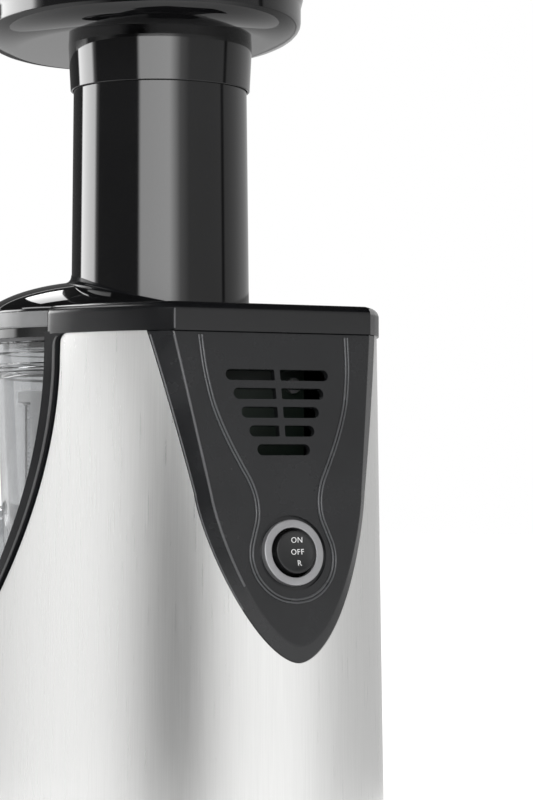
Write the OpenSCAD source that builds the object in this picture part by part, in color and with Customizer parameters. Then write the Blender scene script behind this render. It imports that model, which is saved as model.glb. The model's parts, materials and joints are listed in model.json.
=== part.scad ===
// Vertical cold press juicer: steel motor housing, clear bowl with auger and
// strainer, domed lid with a feed tube, and an oval feed tray.
// Front is -Y, back is +Y, the rest plane is z = 0. All sizes are millimetres.

/* [Body] */
// Width of the steel body at its top edge
body_w = 136.6; // [130:1:150]
// Length from the widest place to the back, at the top edge
body_rear = 98.5; // [94:0.5:104]
// Length from the widest place to the front, at the top edge
body_front = 100; // [96:1:110]
// How much wider each side is at the foot than at the top edge
body_flare = 4; // [2:0.5:6]
// Thickness of the steel sheet
steel_t = 1; // [0.8:0.1:1.5]
// Height of the steel's top edge
steel_top = 275; // [272:1:280]
// Height of the top cap
cap_h = 10; // [8:0.5:12]
// How far the top cap stands out over the steel
cap_over = 0.8; // [0.4:0.1:1.5]
// Height of the rubber feet
foot_h = 5; // [3:0.5:8]
// Radius of a rubber foot
foot_r = 9; // [6:0.5:12]
// Height of the base pan's visible rim
pan_h = 9; // [7:0.5:12]
// Wall of the moulded housing parts
wall = 2.5; // [2:0.1:3]

/* [Bowl bay] */
// Height of the platform that the bowl stands on
platform_z = 162; // [160:1:166]
// Thickness of the platform plate
platform_t = 4; // [3.5:0.25:5]
// Radius of the sweep from the platform up to the column
sweep_r = 106; // [100:1:112]
// Distance from the body's widest place back to the column's front edge
column_y = 32; // [28:1:36]
// Width of the black edge trim along the sweep
trim_w = 7.8; // [6:0.1:10]
// How far the edge trim stands out over the steel
trim_proud = 0.4; // [0.2:0.1:0.8]

/* [Back panel] */
// Half width of the panel's flat face at its top
panel_top = 38.6; // [36:0.2:40]
// Half width of the flat face where its round tip starts
panel_knee = 29.3; // [27:0.1:31]
// Distance from the top edge down to where the round tip starts
panel_knee_h = 56; // [52:1:60]
// Length of the panel's flat face
panel_len = 108; // [104:1:112]
// Width of the bevel at the top corners
bevel_top = 6.4; // [5:0.2:8]
// Width of the bevel along the sides
bevel_side = 4.1; // [3:0.1:5.5]
// Width of the bevel below the tip
bevel_tip = 5.7; // [4:0.1:7]
// How far the flat face lies in from the body's rearmost line at the top
panel_in = 17; // [15:0.5:19]
// How far the flat face stands out of the steel at its tip
panel_proud = 1.2; // [0.8:0.1:2]
// Thickness of the panel moulding
panel_t = 2.5; // [2:0.1:3]
// Depth of the panel moulding
panel_depth = 12; // [10:0.5:14]
// Vent slots
vent_n = 5; // [3:1:6]
// Distance between vent slots
vent_pitch = 6.48; // [6:0.02:7]
// Height of a vent slot
vent_h = 4; // [3.2:0.1:4.6]
// Width of the bridge in the middle of a vent slot
vent_bridge = 2.2; // [1.5:0.1:3]

/* [Switch] */
// Distance from the switch's axis down to the panel's tip
switch_tip = 31.7; // [28:0.1:36]
// Outer radius of the silver ring
ring_r = 11.5; // [10.5:0.1:12]
// Radius of the opening in the silver ring
ring_hole_r = 8.6; // [8:0.1:9]
// How far the rocker turns each way
rocker_deg = 9; // [6:1:10]

/* [Bowl and lid] */
// Distance from the body's widest place forward to the bowl's axis
bowl_fwd = 42.3; // [41:0.1:44]
// Outer radius of the bowl at its foot
bowl_foot_r = 45.6; // [45:0.1:47]
// Outer radius of the bowl under its flange
bowl_top_r = 50; // [49:0.1:51]
// Wall of the bowl
bowl_wall = 2.5; // [2:0.1:3]
// Height of the bowl's flange above the platform
flange_z = 100.5; // [99:0.5:102]
// Radius of the bowl's flange
flange_r = 53; // [52:0.2:54]
// Radius of the lid's skirt
lid_r = 54.5; // [54:0.1:55.5]
// Height of the lid's dome above its skirt
dome_h = 13.5; // [11:0.5:15]
// How far the spouts reach from the bowl's axis
spout_reach = 80; // [72:1:90]
// Outer radius of a spout
spout_r = 12.5; // [11:0.5:14]
// Angle of each spout from straight ahead
spout_deg = 35; // [32:1:45]

/* [Feed tube and tray] */
// Sideways offset of the feed tube from the bowl's axis
tube_x = -6; // [-8:0.5:-2]
// Rearward offset of the feed tube from the bowl's axis
tube_y = 20; // [16:0.5:21]
// Radius of the feed tube at its foot
tube_foot_r = 34.3; // [33.5:0.1:35]
// Radius of the feed tube at its top
tube_top_r = 33.2; // [32.6:0.1:33.4]
// Wall of the feed tube
tube_wall = 3; // [2.5:0.1:3.5]
// Height of the feed tube's top edge above the steel's top edge
tube_h = 111; // [100:1:125]
// Height of the tray's collar
collar_h = 17; // [14:0.5:20]
// Radius of the collar at its top
collar_r = 35.4; // [35:0.1:36.5]
// Half width of the tray's wall
tray_a = 59; // [56:1:62]
// Half length of the tray's wall
tray_b = 72; // [68:1:76]
// How far the tray's centre lies in front of the tube's axis
tray_fwd = 5.7; // [3:0.1:10]
// Height of the tray
tray_h = 32; // [28:1:38]
// Width of the tray's flared lip
tray_lip = 5; // [3:0.5:7]
// Wall of the tray
tray_wall = 2.6; // [2:0.1:3]

/* [Drive] */
// Radius of the motor can
motor_r = 44; // [42:0.5:45]
// Height of the motor can
motor_h = 70; // [66:1:72]
// Radius of the motor shaft
motor_shaft_r = 3; // [2.8:0.1:3.2]
// Radius of the drive shaft
drive_r = 7; // [6.5:0.1:7.2]
// Distance between the two gear axes
gear_centres = 36; // [35:0.5:37]
// Teeth on the motor pinion
pinion_z = 12; // [12:1:14]
// Teeth on the large reduction gear
first_z = 60; // [54:1:60]
// Teeth on the small reduction gear
second_z = 15; // [14:1:17]
// Teeth on the output gear
output_z = 60; // [54:1:60]
// Teeth on the auger's gear
sun_z = 24; // [24:2:24]
// Teeth on the idler gear
idler_z = 18; // [18:1:18]
// Module of the gears in the bowl
bowl_module = 1.1; // [1.08:0.01:1.12]
// Gap between gear teeth at the pitch circle
backlash = 0.24; // [0.15:0.01:0.3]
// Radial gap of a running fit
run_gap = 0.05; // [0.03:0.01:0.08]
// Gap between parts that are only placed side by side
side_gap = 0.3; // [0.25:0.05:0.5]

/* [Hidden] */

$fn = 72;
egg_n = 96;                     // corners of the body's oval plan
leaf = 0.01;                    // thickness of the sheets that a hull joins
far = 400;                      // longer than anything in the model

// heights
pan_bottom = foot_h;
steel_foot = foot_h + pan_h;
cap_top = steel_top + cap_h;
inner = steel_t + side_gap;     // inset of the moulded chassis behind the steel
platform_under = platform_z - platform_t;
gland_z = 34;
gland_r = 8;
gland_out = 1.2;                // how far the cord gland stands out of the steel
upstand_top = gland_z + gland_r + 4;   // the base pan's rim inside the steel, above the gland
pan_seat = upstand_top - 12;    // where the base screws' heads press

// plan positions: the part is centred on its own bounding box
spout_front = bowl_fwd + spout_reach * cos(spout_deg) + spout_r * sin(spout_deg);
body_y = (spout_front - body_rear - flare(gland_z) - gland_out) / 2;
bowl_y = body_y - bowl_fwd;
sweep_y = body_y + column_y - sweep_r;
sweep_z = platform_z + sweep_r;
gear_y = bowl_y + gear_centres;
tube_cy = bowl_y + tube_y;
back_y = body_y + body_rear;

function flare(z) = body_flare * (steel_top - z) / (steel_top - steel_foot);

function oval(grow) = [for (i = [0:egg_n - 1])
    let (turn = 360 * i / egg_n, across = sin(turn))
    [(body_w / 2 + grow) * cos(turn),
     body_y + ((across > 0 ? body_rear : body_front) + grow) * across]];

// a slice of the body's outer form, grown by a distance, between two heights
module form(grow, low, high) {
    hull() {
        translate([0, 0, low]) linear_extrude(leaf) polygon(oval(grow + flare(low)));
        translate([0, 0, high - leaf]) linear_extrude(leaf) polygon(oval(grow + flare(high)));
    }
}

// everything in front of the swept edge
module sweep(r) {
    translate([-far / 2, sweep_y, sweep_z]) rotate([0, 90, 0]) cylinder(r = r, h = far, $fn = 160);
    translate([-far / 2, sweep_y - far, sweep_z - r]) cube([far, far, far]);
    translate([-far / 2, sweep_y, sweep_z]) cube([far, r, far]);
}

module at_bowl() { translate([0, bowl_y, 0]) children(); }
module at_gear() { translate([0, gear_y, 0]) children(); }
module at_tube() { translate([tube_x, tube_cy, 0]) children(); }

module tube(r_out, r_in, low, high) {
    difference() {
        translate([0, 0, low]) cylinder(r = r_out, h = high - low);
        translate([0, 0, low - 1]) cylinder(r = r_in, h = high - low + 2);
    }
}

module post(r, low, high) {
    translate([0, 0, low]) cylinder(r = r, h = high - low, $fn = 32);
}

// ---- back panel geometry: h runs down from the steel's top edge
switch_drop = panel_len - switch_tip;
panel_slope = (panel_in + panel_proud + flare(steel_top - panel_len)) / panel_len;
panel_tilt = atan(panel_slope);
function panel_y(h) = back_y - panel_in + panel_slope * h;
function half_width(h, top, knee, tip) = h < panel_knee_h
    ? top + (knee - top) * h / panel_knee_h
    : knee * pow(max(0, 1 - pow((h - panel_knee_h) / (tip - panel_knee_h), 1.3)), 0.57);
side_n = 20;
tip_n = 22;
// distances down the panel, close together near the tip
function drops(tip) = concat(
    [for (i = [0:side_n - 1]) panel_knee_h * i / side_n],
    [for (i = [0:tip_n]) panel_knee_h + (tip - panel_knee_h) * sin(90 * i / tip_n)]);
function outline_side(top, knee, tip, side) = [for (h = drops(tip)) [side * half_width(h, top, knee, tip), h]];
function reversed(list) = [for (i = [len(list) - 2:-1:0]) list[i]];
function outline(top, knee, tip) =
    concat(outline_side(top, knee, tip, 1), reversed(outline_side(top, knee, tip, -1)));
function rim_outline(grow) = outline(panel_top + bevel_top + grow, panel_knee + bevel_side + grow,
    panel_len + bevel_tip + grow);
crease = outline(panel_top, panel_knee, panel_len);

function body_back(x, z) = let (g = flare(z))
    body_y + (body_rear + g) * sqrt(max(0, 1 - pow(x / (body_w / 2 + g), 2)));

// local frame on the flat face: +Z out of the face, +Y down along it
module on_panel(h, x = 0) {
    translate([x, panel_y(h), steel_top - h]) rotate([-(90 - panel_tilt), 0, 0]) children();
}

// prisms along Y: any outline, and the panel's own
module y_prism(points, low_y, high_y) {
    translate([0, low_y, steel_top]) rotate([-90, 0, 0]) linear_extrude(high_y - low_y) polygon(points);
}
module panel_prism(grow, low_y, high_y) { y_prism(rim_outline(grow), low_y, high_y); }

// everything more than a depth behind the flat face
module behind(depth) {
    on_panel(0) translate([-far / 2, -far / 2, -far - depth]) cube([far, far, far]);
}

// ---- gears
function involute(r, base) = r <= base ? 0 : sqrt(pow(r / base, 2) - 1) * 180 / PI - acos(base / r);
function gear_points(teeth, pitch_r, base, root, tip, thin) = [
    for (k = [0:teeth - 1]) for (side = [-1, 1]) for (i = [0:4])
        let (start = max(root, base),
             step = side < 0 ? i : 4 - i,
             r = step == 0 ? root : start + (tip - start) * (step - 1) / 3,
             half = 90 / teeth - thin / pitch_r * 90 / PI + involute(pitch_r, base) - involute(max(r, start), base),
             turn = 360 * k / teeth + side * half)
        [r * cos(turn), r * sin(turn)]];

// teeth point at +Y when at_gap is false, and a gap does when it is true
module gear(teeth, pitch_r, low, high, bore, at_gap = false, up = 90) {
    mod = 2 * pitch_r / teeth;
    base = pitch_r * cos(20);
    translate([0, 0, low]) linear_extrude(high - low) difference() {
        rotate(up + (at_gap ? 180 / teeth : 0))
            polygon(gear_points(teeth, pitch_r, base, pitch_r - 1.25 * mod, pitch_r + mod, backlash / 2));
        circle(r = bore);
    }
}

// ---- housing ------------------------------------------------------------
foot_places = [[46, body_y - 62], [-46, body_y - 62], [50, body_y + 46], [-50, body_y + 46]];
screw_places = [[42.5, body_y - 74], [-42.5, body_y - 74], [46, body_y + 66], [-46, body_y + 66]];
screw_r = 1.75;
snug = 0.02;
head_r = 3.6;
head_h = 2.2;

module gland_hole() {
    translate([0, gland_y, gland_z]) rotate([-90, 0, 0]) translate([0, 0, -20]) cylinder(r = gland_r + snug, h = 60);
}

module base_pan() {
    color("#1b1c1e") difference() {
        union() {
            difference() {
                union() {
                    form(0, pan_bottom, steel_foot);
                    form(-inner, steel_foot, upstand_top);
                }
                form(-inner - wall, pan_bottom + wall, upstand_top + 1);
            }
            for (p = screw_places) translate([p[0], p[1], 0]) post(5, pan_bottom, upstand_top);
            for (p = foot_places) translate([p[0], p[1], 0]) post(5.5, pan_bottom, pan_bottom + 5);
        }
        for (p = screw_places) translate([p[0], p[1], 0]) {
            post(screw_r + snug, pan_bottom - 1, upstand_top + 1);
            post(head_r + side_gap, pan_bottom - 1, pan_seat);
        }
        gland_hole();
        for (p = foot_places) translate([p[0], p[1], 0]) post(foot_stem_r + snug, pan_bottom - 1, pan_bottom + 4);
        for (i = [0:11]) translate([0, bowl_y, 0]) rotate(30 * i)
            translate([12, -1.6, pan_bottom - 1]) cube([18, 3.2, wall + 2]);
    }
}

foot_stem_r = 3;
module rubber_feet() {
    color("#26262a") for (p = foot_places) translate([p[0], p[1], 0]) {
        cylinder(r1 = foot_r - 1, r2 = foot_r, h = foot_h, $fn = 48);
        post(foot_stem_r, foot_h, foot_h + 3.8);
    }
}

module base_screws() {
    color("#9a9da1") for (p = screw_places) translate([p[0], p[1], 0]) {
        post(head_r, pan_seat - head_h, pan_seat);
        post(screw_r, pan_seat, upstand_top + 10);
    }
}

bay_low_r = bowl_top_r + 1.6;
bay_high_r = lid_r + 1.6;
bay_step = platform_z + flange_z - 2;
// clear space around the bowl and lid
module bay(more) {
    translate([0, bowl_y, platform_z - more]) cylinder(r = bay_low_r + more, h = far);
    translate([0, bowl_y, bay_step - more]) cylinder(r = bay_high_r + more, h = far);
}

mount_places = [[39, bowl_y - 6], [-39, bowl_y - 6], [39, bowl_y + 24], [-39, bowl_y + 24]];
seal_r = 12;
module chassis() {
    color("#1d1e20") {
        difference() {
            form(-inner, upstand_top, steel_top);
            difference() {
                form(-inner - wall, upstand_top - 1, steel_top + 1);
                union() {
                    sweep(sweep_r + wall);
                    bay(wall);
                    translate([-far / 2, -far, platform_under]) cube([far, far + bowl_y + bay_low_r, platform_t]);
                    for (p = screw_places) translate([p[0], p[1], 0]) post(5, upstand_top, upstand_top + 14);
                    for (p = mount_places) translate([p[0], p[1], 0]) post(5.5, platform_under - 0.01, platform_z + 3);
                }
            }
            sweep(sweep_r);
            bay(0);
            panel_prism(side_gap, body_y + column_y + 2 * wall, back_y + 20);
            at_bowl() post(seal_r + snug, platform_under - 1, platform_z + 1);
            for (p = screw_places) translate([p[0], p[1], 0]) post(screw_r + snug, upstand_top - 1, upstand_top + 11);
            for (p = mount_places) translate([p[0], p[1], 0]) {
                post(screw_r + snug, platform_under - 1, platform_z + far);
                post(head_r + side_gap, platform_z - head_h, platform_z + far);
            }
            interlock_place() translate([-4.1, -4.1, -12]) cube([8.2, 8.2, 40]);
        }
        panel_box();
    }
}

board_y = body_y + 62;
board_w = 44;
board_low = 214;
board_high = 262;

// the box that holds the panel, with a ledge that the panel's screws pull against
ledge_t = 2.5;
module panel_box() {
    difference() {
        intersection() {
            y_prism(rim_outline(side_gap + wall), body_y, back_y + 20);
            form(-inner - 0.01, platform_under - 20, steel_top - 0.01);
        }
        behind(panel_depth + ledge_t);
        difference() {
            panel_prism(side_gap, body_y - 1, back_y + 21);
            behind(panel_depth);
        }
        y_prism(outline(panel_top - 6, panel_knee - 6, panel_len - 16), body_y - 1, back_y + 21);
        for (p = panel_screw_places) on_panel(p[1], p[0]) post(1.5 + snug, -panel_depth - 4, -panel_depth + 1);
    }
}

panel_screw_places = [[33, 8], [-33, 8], [0, panel_len - 8]];
module steel_wrap() {
    color("#c4c4c2") difference() {
        form(0, steel_foot, steel_top);
        form(-steel_t, steel_foot - 1, steel_top + 1);
        sweep(sweep_r + trim_w);
        panel_prism(0.15, body_y + 30, back_y + 20);
        gland_hole();
    }
}

module front_trim() {
    color("#17181a") intersection() {
        difference() {
            form(trim_proud, platform_z - 30, steel_top);
            form(-inner + 0.1, platform_z - 31, steel_top + 1);
            sweep(sweep_r);
            bay(0);
        }
        sweep(sweep_r + trim_w - 0.05);
    }
}

cap_round = 2.5;
cap_wall = 2.5;
cap_flat_y = back_y - panel_in + cap_over;
// plan of the cap: the oval cut by the column's front edge, the flat back and its bevels
module cap_cuts(more) {
    translate([-far / 2, body_y + column_y - far - more, steel_top - 1]) cube([far, far, far]);
    translate([-far / 2, cap_flat_y + more, steel_top - 1]) cube([far, far, far]);
    for (side = [-1, 1])
        translate([side * panel_top, cap_flat_y + more, steel_top - 1]) rotate(-45 * side)
            translate([-far / 2, 0, 0]) cube([far, far, far]);
}
module top_cap() {
    color("#202124") difference() {
        hull() {
            translate([0, 0, steel_top]) linear_extrude(cap_h - cap_round) polygon(oval(cap_over));
            translate([0, 0, cap_top - leaf]) linear_extrude(leaf) polygon(oval(cap_over - cap_round));
        }
        cap_cuts(0);
        difference() {
            translate([0, 0, steel_top - 1]) linear_extrude(cap_h - cap_wall + 1) polygon(oval(cap_over - cap_wall - 1));
            cap_cuts(-cap_wall);
        }
    }
}

// flat face, bevel to the body's surface, then straight back; the form is convex
module panel_shell() {
    rim_points = [for (p = rim_outline(0)) let (z = steel_top - p[1]) [p[0], body_back(p[0], z) + 0.3, z]];
    face_points = [for (p = crease) [p[0], panel_y(p[1]), steel_top - p[1]]];
    back_points = [for (p = rim_outline(0)) [p[0], panel_y(p[1]) - panel_depth - 4, steel_top - p[1]]];
    all_points = concat(face_points, rim_points, back_points);
    hull() polyhedron(points = all_points, faces = [for (i = [0:len(all_points) - 3]) [i, i + 1, i + 2]]);
}

vent_top = 15;
function vent_half(i) = 20.1 - 2.45 * i;
module vent(i) {
    half = vent_half(i);
    long = half - vent_h / 2;
    last = i == vent_n - 1;
    on_panel(vent_top + vent_pitch * i) translate([0, 0, -panel_t - 8]) linear_extrude(panel_t + 10) difference() {
        union() {
            translate([-long, -vent_h / 2]) square([2 * long, vent_h]);
            for (side = [-1, 1]) translate([side * long, 0]) circle(r = vent_h / 2, $fn = 32);
        }
        if (!last) translate([-vent_bridge / 2, -vent_h]) square([vent_bridge, 2 * vent_h]);
    }
}

groove_r = ring_r + 1.5;
module back_panel() {
    color("#2b2c2f") difference() {
        union() {
            difference() {
                panel_shell();
                intersection() {
                    y_prism(outline(panel_top - panel_t, panel_knee - panel_t, panel_len - 4), body_y, back_y + 20);
                    behind(panel_t);
                }
            }
            for (p = panel_screw_places) on_panel(p[1], p[0]) post(3.4, -panel_depth, -panel_t + 0.5);
        }
        behind(panel_depth);
        for (i = [0:vent_n - 1]) vent(i);
        on_panel(switch_drop) {
            post(ring_r + run_gap, -panel_t - 8, 5);
            tube(groove_r, ring_r - 1, -1, 4);
        }
        for (p = panel_screw_places) on_panel(p[1], p[0]) post(1.5 + snug, -panel_depth - 1, -panel_t - 1);
    }
}

module panel_screws() {
    color("#9a9da1") for (p = panel_screw_places) on_panel(p[1], p[0]) {
        post(1.5, -panel_depth - ledge_t, -panel_t - 2);
        post(2.8, -panel_depth - ledge_t - 1.8, -panel_depth - ledge_t);
    }
}

ring_out = 1.2;
ring_in = 1.4;
pin_r = 1.2;
rocker_pivot = -ring_in - pin_r - side_gap;
rocker_top = 2.6;
rocker_r = ring_hole_r - side_gap - (rocker_top - rocker_pivot) * sin(rocker_deg);
module switch_bezel() {
    color("#a2a3a6") on_panel(switch_drop) difference() {
        tube(ring_r, ring_hole_r, -ring_in, ring_out);
        translate([0, 0, ring_out]) rotate_extrude() translate([ring_r, 0]) rotate(45) square(0.7, center = true);
    }
}

module switch_housing() {
    color("#151617") on_panel(switch_drop) {
        difference() {
            translate([0, 0, -16]) cylinder(r = ring_r - 0.2, h = 16 - ring_in);
            translate([0, 0, -10]) cylinder(r = ring_hole_r + 0.1, h = 20);
            rotate([0, 90, 0]) translate([-rocker_pivot, 0, -ring_r]) cylinder(r = pin_r + snug, h = 2 * ring_r, $fn = 32);
        }
        for (x = [-5, 0, 5]) translate([x - 0.4, -2.4, -22]) cube([0.8, 4.8, 6]);
    }
}

module switch_pin() {
    color("#b9bbbd") on_panel(switch_drop)
        translate([-10.2, 0, rocker_pivot]) rotate([0, 90, 0]) cylinder(r = pin_r, h = 20.4, $fn = 32);
}

module switch_rocker() {
    color("#3a3b3d") on_panel(switch_drop) difference() {
        union() {
            post_round(rocker_r, rocker_pivot - 1.7, rocker_top);
            post_round(5.5, rocker_pivot - 5, rocker_pivot - 1.7);
        }
        translate([0, 0, rocker_top + 29.2]) sphere(r = 30, $fn = 96);
        translate([-20, 0, rocker_pivot]) rotate([0, 90, 0]) cylinder(r = pin_r + run_gap, h = 40, $fn = 32);
    }
}
module post_round(r, low, high) { translate([0, 0, low]) cylinder(r = r, h = high - low); }

board_t = 1.6;
module control_board() {
    color("#2f5a3a") difference() {
        translate([-board_w / 2, board_y, board_low]) cube([board_w, board_t, board_high - board_low]);
        for (x = [-1, 1]) for (z = [board_low + 5, board_high - 5])
            translate([x * (board_w / 2 - 5), board_y - 1, z]) rotate([-90, 0, 0]) cylinder(r = 1.6 + snug, h = 4, $fn = 24);
    }
    color("#30343a") {
        translate([-12, board_y - 12, 234]) cube([16, 12, 18]);
        translate([10, board_y - 9, 226]) cube([8, 9, 8]);
        translate([-5, board_y, 222]) rotate([90, 0, 0]) cylinder(r = 5, h = 15, $fn = 32);
    }
}

// pillars from the column's front wall to the board
module board_posts() {
    color("#b9bbbd") for (x = [-1, 1]) for (z = [board_low + 5, board_high - 5])
        translate([x * (board_w / 2 - 5), 0, z]) rotate([-90, 0, 0]) {
            front = column_front(z);
            difference() {
                translate([0, 0, front - 2]) cylinder(r = 3, h = board_y - front + 2, $fn = 32);
                rotate([90, 0, 0]) translate([-x * (board_w / 2 - 5), 0, -z]) sweep(sweep_r + wall + 0.05);
            }
            translate([0, 0, board_y]) cylinder(r = 1.6, h = board_t, $fn = 24);
            translate([0, 0, board_y + board_t]) cylinder(r = 2.8, h = 1.6, $fn = 24);
        }
}
function column_front(z) = sweep_y + sqrt(pow(sweep_r + wall, 2) - pow(sweep_z - z, 2)) + 0.05;

module interlock_place() { translate([0, bowl_y - 40.5, platform_z]) children(); }
module interlock_switch() {
    color("#202225") interlock_place() {
        translate([-4, -4, -14]) cube([8, 8, 13.4]);
        post(1.5, -0.6, 0.2);
    }
}

gland_y = body_y + body_rear;
module inlet_gland() {
    color("#141516") translate([0, 0, gland_z]) rotate([-90, 0, 0]) difference() {
        union() {
            translate([0, 0, gland_y - 10]) cylinder(r = gland_r, h = 10 + flare(gland_z) + gland_out, $fn = 48);
            translate([0, 0, gland_y + flare(gland_z) + 0.05]) cylinder(r = gland_r + 2, h = gland_out - 0.05, $fn = 48);
            translate([0, 0, gland_y - 12.5]) cylinder(r = gland_r + 3, h = 2.5, $fn = 48);
        }
        translate([0, 0, gland_y - 20]) cylinder(r = 3.6, h = 60, $fn = 48);
    }
}

// ---- motor and gearbox ---------------------------------------------------
can_low = 26;
can_high = can_low + motor_h;
bell_high = can_high + 6;
case_high = platform_under - 8;
cover_high = platform_under;
case_r = 35;
case_wall = 2.5;
bearing_r = 9.5;
bearing_h = 6;
stack_low = can_low + 14;
stack_high = can_high - 12;
stator_in = 27.2;
rotor_r = 26.6;

module motor_can() {
    color("#8d9094") at_bowl() difference() {
        union() {
            tube(motor_r, motor_r - 2.5, can_low, can_high);
            tube(motor_r - 1, 12, can_low, can_low + 2.5);
            tube(13, bearing_r + snug, can_low, can_low + 9);
        }
        for (i = [0:7]) rotate(45 * i + 22.5) translate([28, 0, 0]) post(4, can_low - 1, can_low + 4);
    }
}

module motor_stator() {
    color("#6f7276") at_bowl() difference() {
        tube(motor_r - 2.5 - snug, stator_in, stack_low, stack_high);
        for (i = [0:11]) rotate(30 * i) translate([stator_in - 1, -1.5, stack_low - 1]) cube([7, 3, far]);
    }
}

module stator_windings() {
    color("#b4683a") at_bowl() {
        tube(motor_r - 5, stator_in + 1.5, stack_low - 6, stack_low);
        tube(motor_r - 5, stator_in + 1.5, stack_high, stack_high + 6);
    }
}

bolt_r = 24;
module bolt_ring() { for (i = [0:2]) rotate(180 + 90 * i) translate([bolt_r, 0, 0]) children(); }
module motor_end_bell() {
    color("#9a9da1") at_bowl() difference() {
        union() {
            tube(motor_r, 12, can_high, bell_high);
            tube(13, bearing_r + snug, can_high - 2, bell_high);
            post_round(10, bell_high - 1.5, bell_high);
        }
        post_round(motor_shaft_r + 1, can_high - 3, bell_high + 1);
        bolt_ring() post(screw_r + snug, can_high - 1, bell_high + 1);
    }
}

module motor_bearings() {
    color("#b9bbbd") at_bowl() {
        tube(bearing_r, motor_shaft_r + run_gap, can_low + 3, can_low + 3 + bearing_h);
        tube(bearing_r, motor_shaft_r + run_gap, bell_high - 1.5 - bearing_h, bell_high - 1.5);
    }
}

case_low = bell_high;
case_floor = case_low + 3;
module motor_screws() {
    color("#9a9da1") at_bowl() bolt_ring() {
        post(screw_r, can_high + 1, case_floor);
        post(3, case_floor, case_floor + 1.8);
    }
}

fan_low = 11;
fan_high = 22;
first_low = case_floor + 3;
first_high = first_low + 10;
second_high = first_high + 17;
out_low = first_high + 3;
out_high = out_low + 13;
boss_low = out_high + 1.2;
shaft_end = first_high + 1;
module motor_rotor() {
    color("#7c7f84") at_bowl() {
        post_round(motor_shaft_r, fan_low - 1, shaft_end);
        tube(rotor_r, motor_shaft_r - 0.01, stack_low, stack_high);
        tube(8, motor_shaft_r - 0.01, stack_high, stack_high + 5);
    }
}

module cooling_fan() {
    color("#3b3d40") at_bowl() {
        tube(8, motor_shaft_r + 0.01, fan_low, fan_high);
        tube(33, 7.9, fan_low, fan_low + 1.6);
        for (i = [0:8]) rotate(40 * i) translate([7.5, -0.8, fan_low]) cube([25, 1.6, fan_high - fan_low - 2]);
    }
}

first_pitch = gear_centres * first_z / (first_z + pinion_z);
pinion_pitch = gear_centres - first_pitch;
out_pitch = gear_centres * output_z / (output_z + second_z);
second_pitch = gear_centres - out_pitch;
module motor_pinion() {
    color("#b08d4a") at_bowl() gear(pinion_z, pinion_pitch, first_low, first_high, motor_shaft_r + 0.01);
}

module reduction_gear() {
    color("#e3e1d6") at_gear() {
        difference() {
            gear(first_z, first_pitch, first_low, first_high, gear_pin_r + run_gap, true, -90);
            for (i = [0:5]) rotate(60 * i) translate([18.5, 0, 0]) post(5, first_low - 1, first_high + 1);
        }
        gear(second_z, second_pitch, first_high, second_high, gear_pin_r + run_gap, true, -90);
    }
}

gear_pin_r = 3;
module gear_pin() {
    color("#c9cacb") at_gear() post(gear_pin_r, case_low + 0.5, cover_high - 1);
}

module stadium(r, low, high) {
    at_bowl() post_round(r, low, high);
    at_gear() post_round(r, low, high);
    translate([-r, bowl_y, low]) cube([2 * r, gear_centres, high - low]);
}

module gearbox_case() {
    color("#55585c") difference() {
        union() {
            stadium(case_r, case_low, case_high);
            for (p = mount_places) translate([p[0], p[1], 0]) post(5.5, case_high - 18, case_high);
        }
        difference() {
            stadium(case_r - case_wall, case_floor, case_high + 1);
            at_gear() post(6, case_floor, case_floor + 2.6);
        }
        at_bowl() post_round(10.2, case_low - 1, case_floor + 1);
        at_bowl() bolt_ring() post(screw_r + snug, case_low - 1, case_floor + 1);
        at_gear() post(gear_pin_r + snug, case_low + 0.5, case_floor + 4);
        for (p = mount_places) translate([p[0], p[1], 0]) post(screw_r + snug, case_high - 15, case_high + 1);
    }
}

shaft_bearing_r = 14;
shaft_bearing_h = 6;
module gearbox_cover() {
    color("#5f6266") difference() {
        union() {
            stadium(case_r, case_high, cover_high);
            at_bowl() post_round(18, boss_low, cover_high);
            at_gear() post(6, second_high + 0.6, cover_high);
            for (p = mount_places) translate([p[0], p[1], 0]) post(5.5, case_high, cover_high);
        }
        difference() {
            stadium(case_r - case_wall, case_high - 1, cover_high - 3);
            at_bowl() post_round(18, boss_low, cover_high);
            at_gear() post(6, second_high + 0.6, cover_high);
        }
        at_bowl() post_round(shaft_bearing_r + snug, boss_low - 1, cover_high + 1);
        at_gear() post(gear_pin_r + snug, second_high - 1, cover_high - 1);
        for (p = mount_places) translate([p[0], p[1], 0]) post(screw_r + snug, case_high - 1, cover_high + 1);
    }
}

module gearbox_screws() {
    color("#9a9da1") for (p = mount_places) translate([p[0], p[1], 0]) {
        post(head_r, platform_z - head_h, platform_z);
        post(screw_r, case_high - 14, platform_z - head_h);
    }
}

module shaft_bearings() {
    color("#b9bbbd") at_bowl() {
        tube(shaft_bearing_r, drive_r + run_gap, boss_low, boss_low + shaft_bearing_h);
        tube(shaft_bearing_r, drive_r + run_gap, cover_high - shaft_bearing_h, cover_high);
        tube(shaft_bearing_r, shaft_bearing_r - 2, boss_low + shaft_bearing_h, cover_high - shaft_bearing_h);
    }
}

module shaft_seal() {
    color("#8c3b30") at_bowl() tube(seal_r, drive_r + run_gap, platform_under, platform_z);
}

module output_gear() {
    color("#e3e1d6") at_bowl() difference() {
        gear(output_z, out_pitch, out_low, out_high, drive_r + 0.01);
        for (i = [0:5]) rotate(60 * i) translate([18, 0, 0]) post(5, out_low - 1, out_high + 1);
    }
}

hex_r = drive_r - 0.1;
hex_top = platform_z + 30;
module drive_shaft() {
    color("#c9cacb") at_bowl() {
        post_round(drive_r, out_low, platform_z + 0.2);
        translate([0, 0, platform_z + 0.2]) cylinder(r = hex_r, h = hex_top - platform_z - 1.2, $fn = 6);
        translate([0, 0, hex_top - 1]) cylinder(r1 = hex_r, r2 = hex_r - 1, h = 1, $fn = 6);
    }
}

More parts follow.
